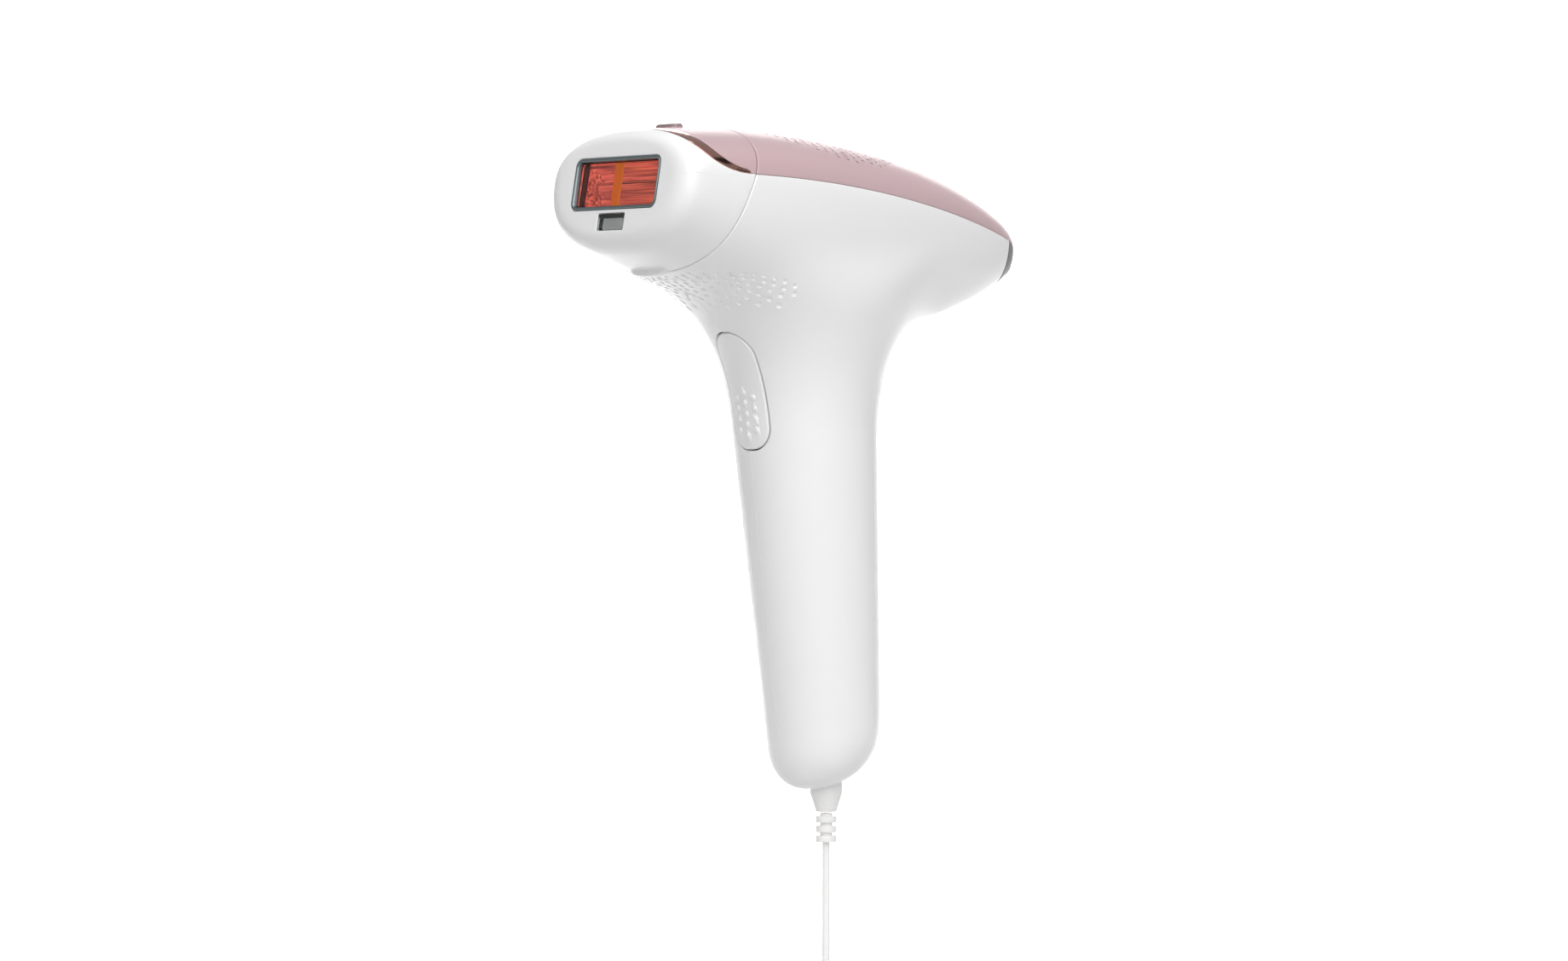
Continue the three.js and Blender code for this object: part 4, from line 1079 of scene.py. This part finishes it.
def fan_triangles(faces):
    return np.array([(face[0], face[i], face[i + 1]) for face in faces for i in range(1, len(face) - 1)])


def vertex_normals(points, triangles):
    a, b, c = (points[triangles[:, corner]] for corner in range(3))
    across = np.cross(b - a, c - a)
    total = np.zeros_like(points)
    for corner in range(3):
        np.add.at(total, triangles[:, corner], across)
    return total / np.maximum(np.linalg.norm(total, axis=1, keepdims=True), 1e-9)


# ---------------------------------------------------------------- plug, cord and adapter

def build_plug():
    """The moulded plug body, and the ringed sleeve that lets the cord bend, which is returned."""
    corners = [(0, PLUG_TOP), (4.9, PLUG_TOP), (4.9, -80.5), (3.1, PLUG_END), (0, PLUG_END)]
    points, faces = turned_solid(rounded_profile(corners, 0.6)[::-1])
    make_piece("cord_plug", points + (0, PLUG_Y, 0), faces, "cord_white")
    neck, ring = 1.9, 3.1
    pitch = (RELIEF_TOP - RELIEF_END) / 3
    corners = [(0, RELIEF_END)]
    for count in range(3):
        low = RELIEF_END + count * pitch
        high = low + 0.68 * pitch
        corners += [(neck if count else 1.6, low), (ring, low), (ring, high), (neck, high)]
    corners += [(neck, RELIEF_TOP), (0, RELIEF_TOP)]
    points, faces = turned_solid(rounded_profile(corners, 0.35))
    return make_piece("plug_strain_relief", points + (0, PLUG_Y, 0), faces, "cord_white")


def smooth_route(points, spacing):
    """A smooth curve through given points, sampled closely."""
    padded = with_ends(points)
    result = []
    for before, start, end, after in zip(padded, padded[1:], padded[2:], padded[3:]):
        steps = max(int(np.linalg.norm(end - start) / spacing), 2)
        result += [smooth_between(before, start, end, after, t) for t in np.arange(steps) / steps]
    return np.array([*result, points[-1]])


def coil_route():
    """The spare cord: flat spirals that run in and out, one layer on the next."""
    layer_turns = COIL_TURNS / COIL_LAYERS
    step_turns = 0.25
    points = []
    total = int(COIL_TURNS * 40)
    for step in range(total + 1):
        turns = COIL_TURNS * step / total
        layer = min(int(turns / layer_turns), COIL_LAYERS - 1)
        place = turns - layer * layer_turns
        flat = min(place / (layer_turns - step_turns), 1)
        climb = max(place - (layer_turns - step_turns), 0) / step_turns if layer < COIL_LAYERS - 1 else 0
        inward = flat if layer % 2 == 0 else 1 - flat
        outer = COIL_INNER_TURN + COIL_PITCH * (layer_turns - step_turns)
        radius = outer + (COIL_INNER_TURN - outer) * inward
        eased = climb * climb * (3 - 2 * climb)
        height = COIL_BASE + CORD_RADIUS + COIL_PITCH * (layer + eased)
        angle = (COIL_START + 360 * turns) * DEGREE
        points.append((radius * math.cos(angle), COIL_Y + radius * math.sin(angle), height))
    return np.array(points)


def build_cord():
    """One cord from the plug down to the surface, round the coil and into the adapter."""
    drop = [
        (0, PLUG_Y, -94.6), (0, PLUG_Y, -99), (0, PLUG_Y, -108), (0, PLUG_Y, -122), (0, PLUG_Y, -136),
        (0.1, 6.4, -145), (1, 8, -153.4), (3, 11.7, -160), (5.8, 17, -164.4), (8, 21.4, -165.8),
        (9.9, 25.2, -165.9),
    ]
    rise = [
        (-17, 29.7, -158.9), (-15.2, 24, -159.6), (-13.6, 18.4, -161), (-12.4, 12.6, -162.6),
        (ADAPTER_EXIT_X, 6.8, ADAPTER_EXIT_Z), (ADAPTER_EXIT_X, 0, ADAPTER_EXIT_Z),
        (ADAPTER_EXIT_X, -14, ADAPTER_EXIT_Z), (ADAPTER_EXIT_X, -28, ADAPTER_EXIT_Z),
    ]
    coil = coil_route()
    route = np.concatenate([smooth_route(drop, 2.5), coil[1:-1], smooth_route(rise, 2.5)])
    curve = bpy.data.curves.new("power_cord", "CURVE")
    curve.dimensions = "3D"
    curve.bevel_depth = CORD_RADIUS * MM
    curve.bevel_resolution = 5
    curve.use_fill_caps = True
    spline = curve.splines.new("POLY")
    spline.points.add(len(route) - 1)
    for point, place in zip(spline.points, route * MM):
        point.co = (*place, 1)
    curve.materials.append(MATERIALS["cord_white"])
    cord = add_object("power_cord", curve)
    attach(cord, "handset")
    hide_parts("power_cord_upper", "power_cord_lower", "cord_coil")


def build_tie():
    """A soft strap round the coil's turns, with rounded corners."""
    middle_y, half_y = middle_and_half(COIL_Y + 12.3, COIL_Y + 23.4)
    middle_z, half_z = middle_and_half(COIL_BASE, COIL_BASE + 9.5)
    layers = []
    for x, grow in ((-3, 0.35), (-2.9, 0.95), (2.9, 0.95), (3, 0.35)):
        ring = outline(half_y + grow, half_z + grow, 1.2)
        layers.append(joined(x, ring[:, 0] + middle_y, ring[:, 1] + middle_z))
    return make_piece("cord_tie", *stacked_solid(layers, closed_ends=False), "pale_grey")


def adapter_half(name, end, rim, inward):
    """One hollow half of the adapter's case, with soft outer corners, from its closed end to its rim."""
    rounding, wall = ADAPTER_ROUNDING, ADAPTER_WALL
    section = [(rounding + 1.5, end)]
    for t in np.linspace(1, 0, 6):
        angle = t * math.pi / 2
        section.append((rounding * (1 - math.cos(angle)), end + inward * rounding * (1 - math.sin(angle))))
    section += [(0, rim - inward * 0.3), (0.25, rim), (wall, rim), (wall, end + inward * wall)]
    middle_y, half_y = middle_and_half(ADAPTER_FRONT, ADAPTER_BACK)
    layers = []
    for inset, z in section[::inward]:
        ring = outline(ADAPTER_HALF_WIDTH - inset, half_y - inset, 3.2 - inset * 0.6)
        layers.append(joined(ring[:, 0], ring[:, 1] + middle_y, z))
    return make_piece(name, *stacked_solid(layers), "gloss_white")


def build_adapter():
    """The plug-in adapter, its two pins with their sleeves, and the sleeve that the cord comes out of."""
    middle = SURFACE_Z + ADAPTER_HEIGHT / 2
    pieces = [
        adapter_half("adapter_base", SURFACE_Z, middle - ADAPTER_HALF_GAP, 1),
        adapter_half("adapter_cover", SURFACE_Z + ADAPTER_HEIGHT, middle + ADAPTER_HALF_GAP, -1),
    ]
    for side, name in ((-1, "adapter_pin_left"), (1, "adapter_pin_right")):
        corners = [(0, 0), (PIN_RADIUS, 0), (PIN_RADIUS, PIN_LENGTH - 0.1), (0, PIN_LENGTH)]
        points, faces = turned_solid(rounded_profile(corners, 0.9), 32)
        place = (side * PIN_HALF_SPACING, ADAPTER_FRONT, SURFACE_Z + PIN_HEIGHT)
        forwards = points[:, [0, 2, 1]] * (1, -1, 1) + place
        pieces.append(make_piece(name, forwards, faces, "steel"))
    reach = ADAPTER_EXIT_REACH
    corners = [
        (0, reach), (1.5, reach), (1.7, reach - 3), (2.1, 1.3), (3.2, 1.1), (3.2, 0.2), (2.1, 0.1),
        (2.1, -2.5), (0, -2.5),
    ]
    points, faces = turned_solid(rounded_profile(corners, 0.3)[::-1], 40)
    backwards = points[:, [0, 2, 1]] * (1, 1, -1) + (ADAPTER_EXIT_X, ADAPTER_BACK, ADAPTER_EXIT_Z)
    pieces.append(make_piece("adapter_strain_relief", backwards, faces, "cord_white"))
    return pieces


# ---------------------------------------------------------------- the CAD's own pieces

def dress_cad_nodes():
    """The carried-over CAD pieces get the material of their own slot."""
    slots = {entry["node"]: entry["material_slot"] for entry in frame["record"]["subparts"]}
    slots["skin_sensor"] = "sensor_face"
    for name, node in frame["nodes"].items():
        node.data.materials.clear()
        node.data.materials.append(MATERIALS[slots[name]])


# ---------------------------------------------------------------- floor, backdrop and light

def make_stage():
    """A pale floor that sweeps up into a backdrop, behind the object as the camera sees it."""
    floor_z = SURFACE_Z - 0.3
    radius, near, far, height, half_width = 900.0, 3000.0, 2600.0, 1900.0, 3000.0
    line = [(-near, floor_z), (0, floor_z), (far, floor_z)]
    for angle in np.linspace(0, math.pi / 2, 17)[1:]:
        line.append((far + radius * math.sin(angle), floor_z + radius * (1 - math.cos(angle))))
    line.append((far + radius, height))
    back, right = direction(CAMERA_AZIMUTH), direction(CAMERA_AZIMUTH + 90)
    sides = (-half_width, half_width)
    points = [right * side - back * depth + (0, 0, z) for side in sides for depth, z in line]
    size = len(line)
    faces = [(step, size + step, size + step + 1, step + 1) for step in range(size - 1)]
    mesh = smooth_mesh("floor", points, faces)
    mesh.materials.append(MATERIALS["floor_paint"])
    add_object("floor", mesh)


def add_light(name, kind, power, place, target, **settings):
    """A light at a place that looks at a target, both in metres."""
    data = bpy.data.lights.new(name, kind)
    data.energy = power
    for setting, value in settings.items():
        setattr(data, setting, value)
    light = add_object(name, data)
    light.location = place
    light.rotation_euler = Vector(place - target).to_track_quat("Z", "Y").to_euler()
    return light


def add_area_light(name, azimuth, elevation, distance, size, power):
    """A large soft light on the object's head, which the camera doesn't see."""
    place = direction(azimuth, elevation) * distance
    light = add_light(name, "AREA", power, place, np.array((0, 0, 0.03)), shape="DISK", size=size)
    light.visible_camera = False


def add_backdrop_spot(name, start, reach, height, spread, power):
    """A lamp above and behind the object, aimed away from it at the floor or the backdrop in view."""
    behind = -direction(CAMERA_AZIMUTH)
    add_light(name, "SPOT", power, behind * start + (0, 0, 2.0), behind * reach + (0, 0, height),
              spot_size=spread * DEGREE, spot_blend=1.0, shadow_soft_size=0.2)


def make_world():
    """A white surround with two dark flags, which the bright metal and the gloss reflect."""
    world = bpy.data.worlds.new("studio")
    nodes = Nodes(world)
    background = nodes.set(nodes.tree.nodes["Background"], Strength=WORLD_STRENGTH)
    seen = nodes.add("ShaderNodeTexCoord").outputs["Generated"]
    light = None
    for azimuth, elevation, spread in FLAGS:
        toward = nodes.add("ShaderNodeVectorMath", operation="DOT_PRODUCT")
        toward.inputs[1].default_value = direction(azimuth, elevation)
        nodes.link(seen, toward.inputs[0])
        outer, inner = (math.cos((spread + margin) * DEGREE) for margin in (2, -2))
        flag = nodes.spread(toward.outputs["Value"], 1, 0.06, outer, inner)
        if light:
            both = nodes.add("ShaderNodeMath", operation="MULTIPLY")
            nodes.link(light, both.inputs[0])
            nodes.link(flag, both.inputs[1])
            flag = both.outputs["Value"]
        light = flag
    nodes.link(light, background.inputs["Color"])
    bpy.context.scene.world = world


def make_light():
    make_world()
    add_area_light("key", 58, 36, 1.9, 2.5, 33)
    add_area_light("top", 60, 82, 1.6, 1.2, 4)
    add_backdrop_spot("floor_spot", 0.55, 1.2, -0.17, 70, 560)
    add_backdrop_spot("wall_spot", 1.2, 3.0, 0.15, 120, 1000)
    bpy.context.scene.view_settings.view_transform = "Standard"


# ---------------------------------------------------------------- everything


def main():
    make_camera()
    make_materials()
    relief = build_plug()
    tie = build_tie()
    adapter = build_adapter()
    build_cord()
    dress_cad_nodes()
    build_body()
    build_window()
    build_filter()
    build_reflector()
    make_stage()
    make_light()


main()
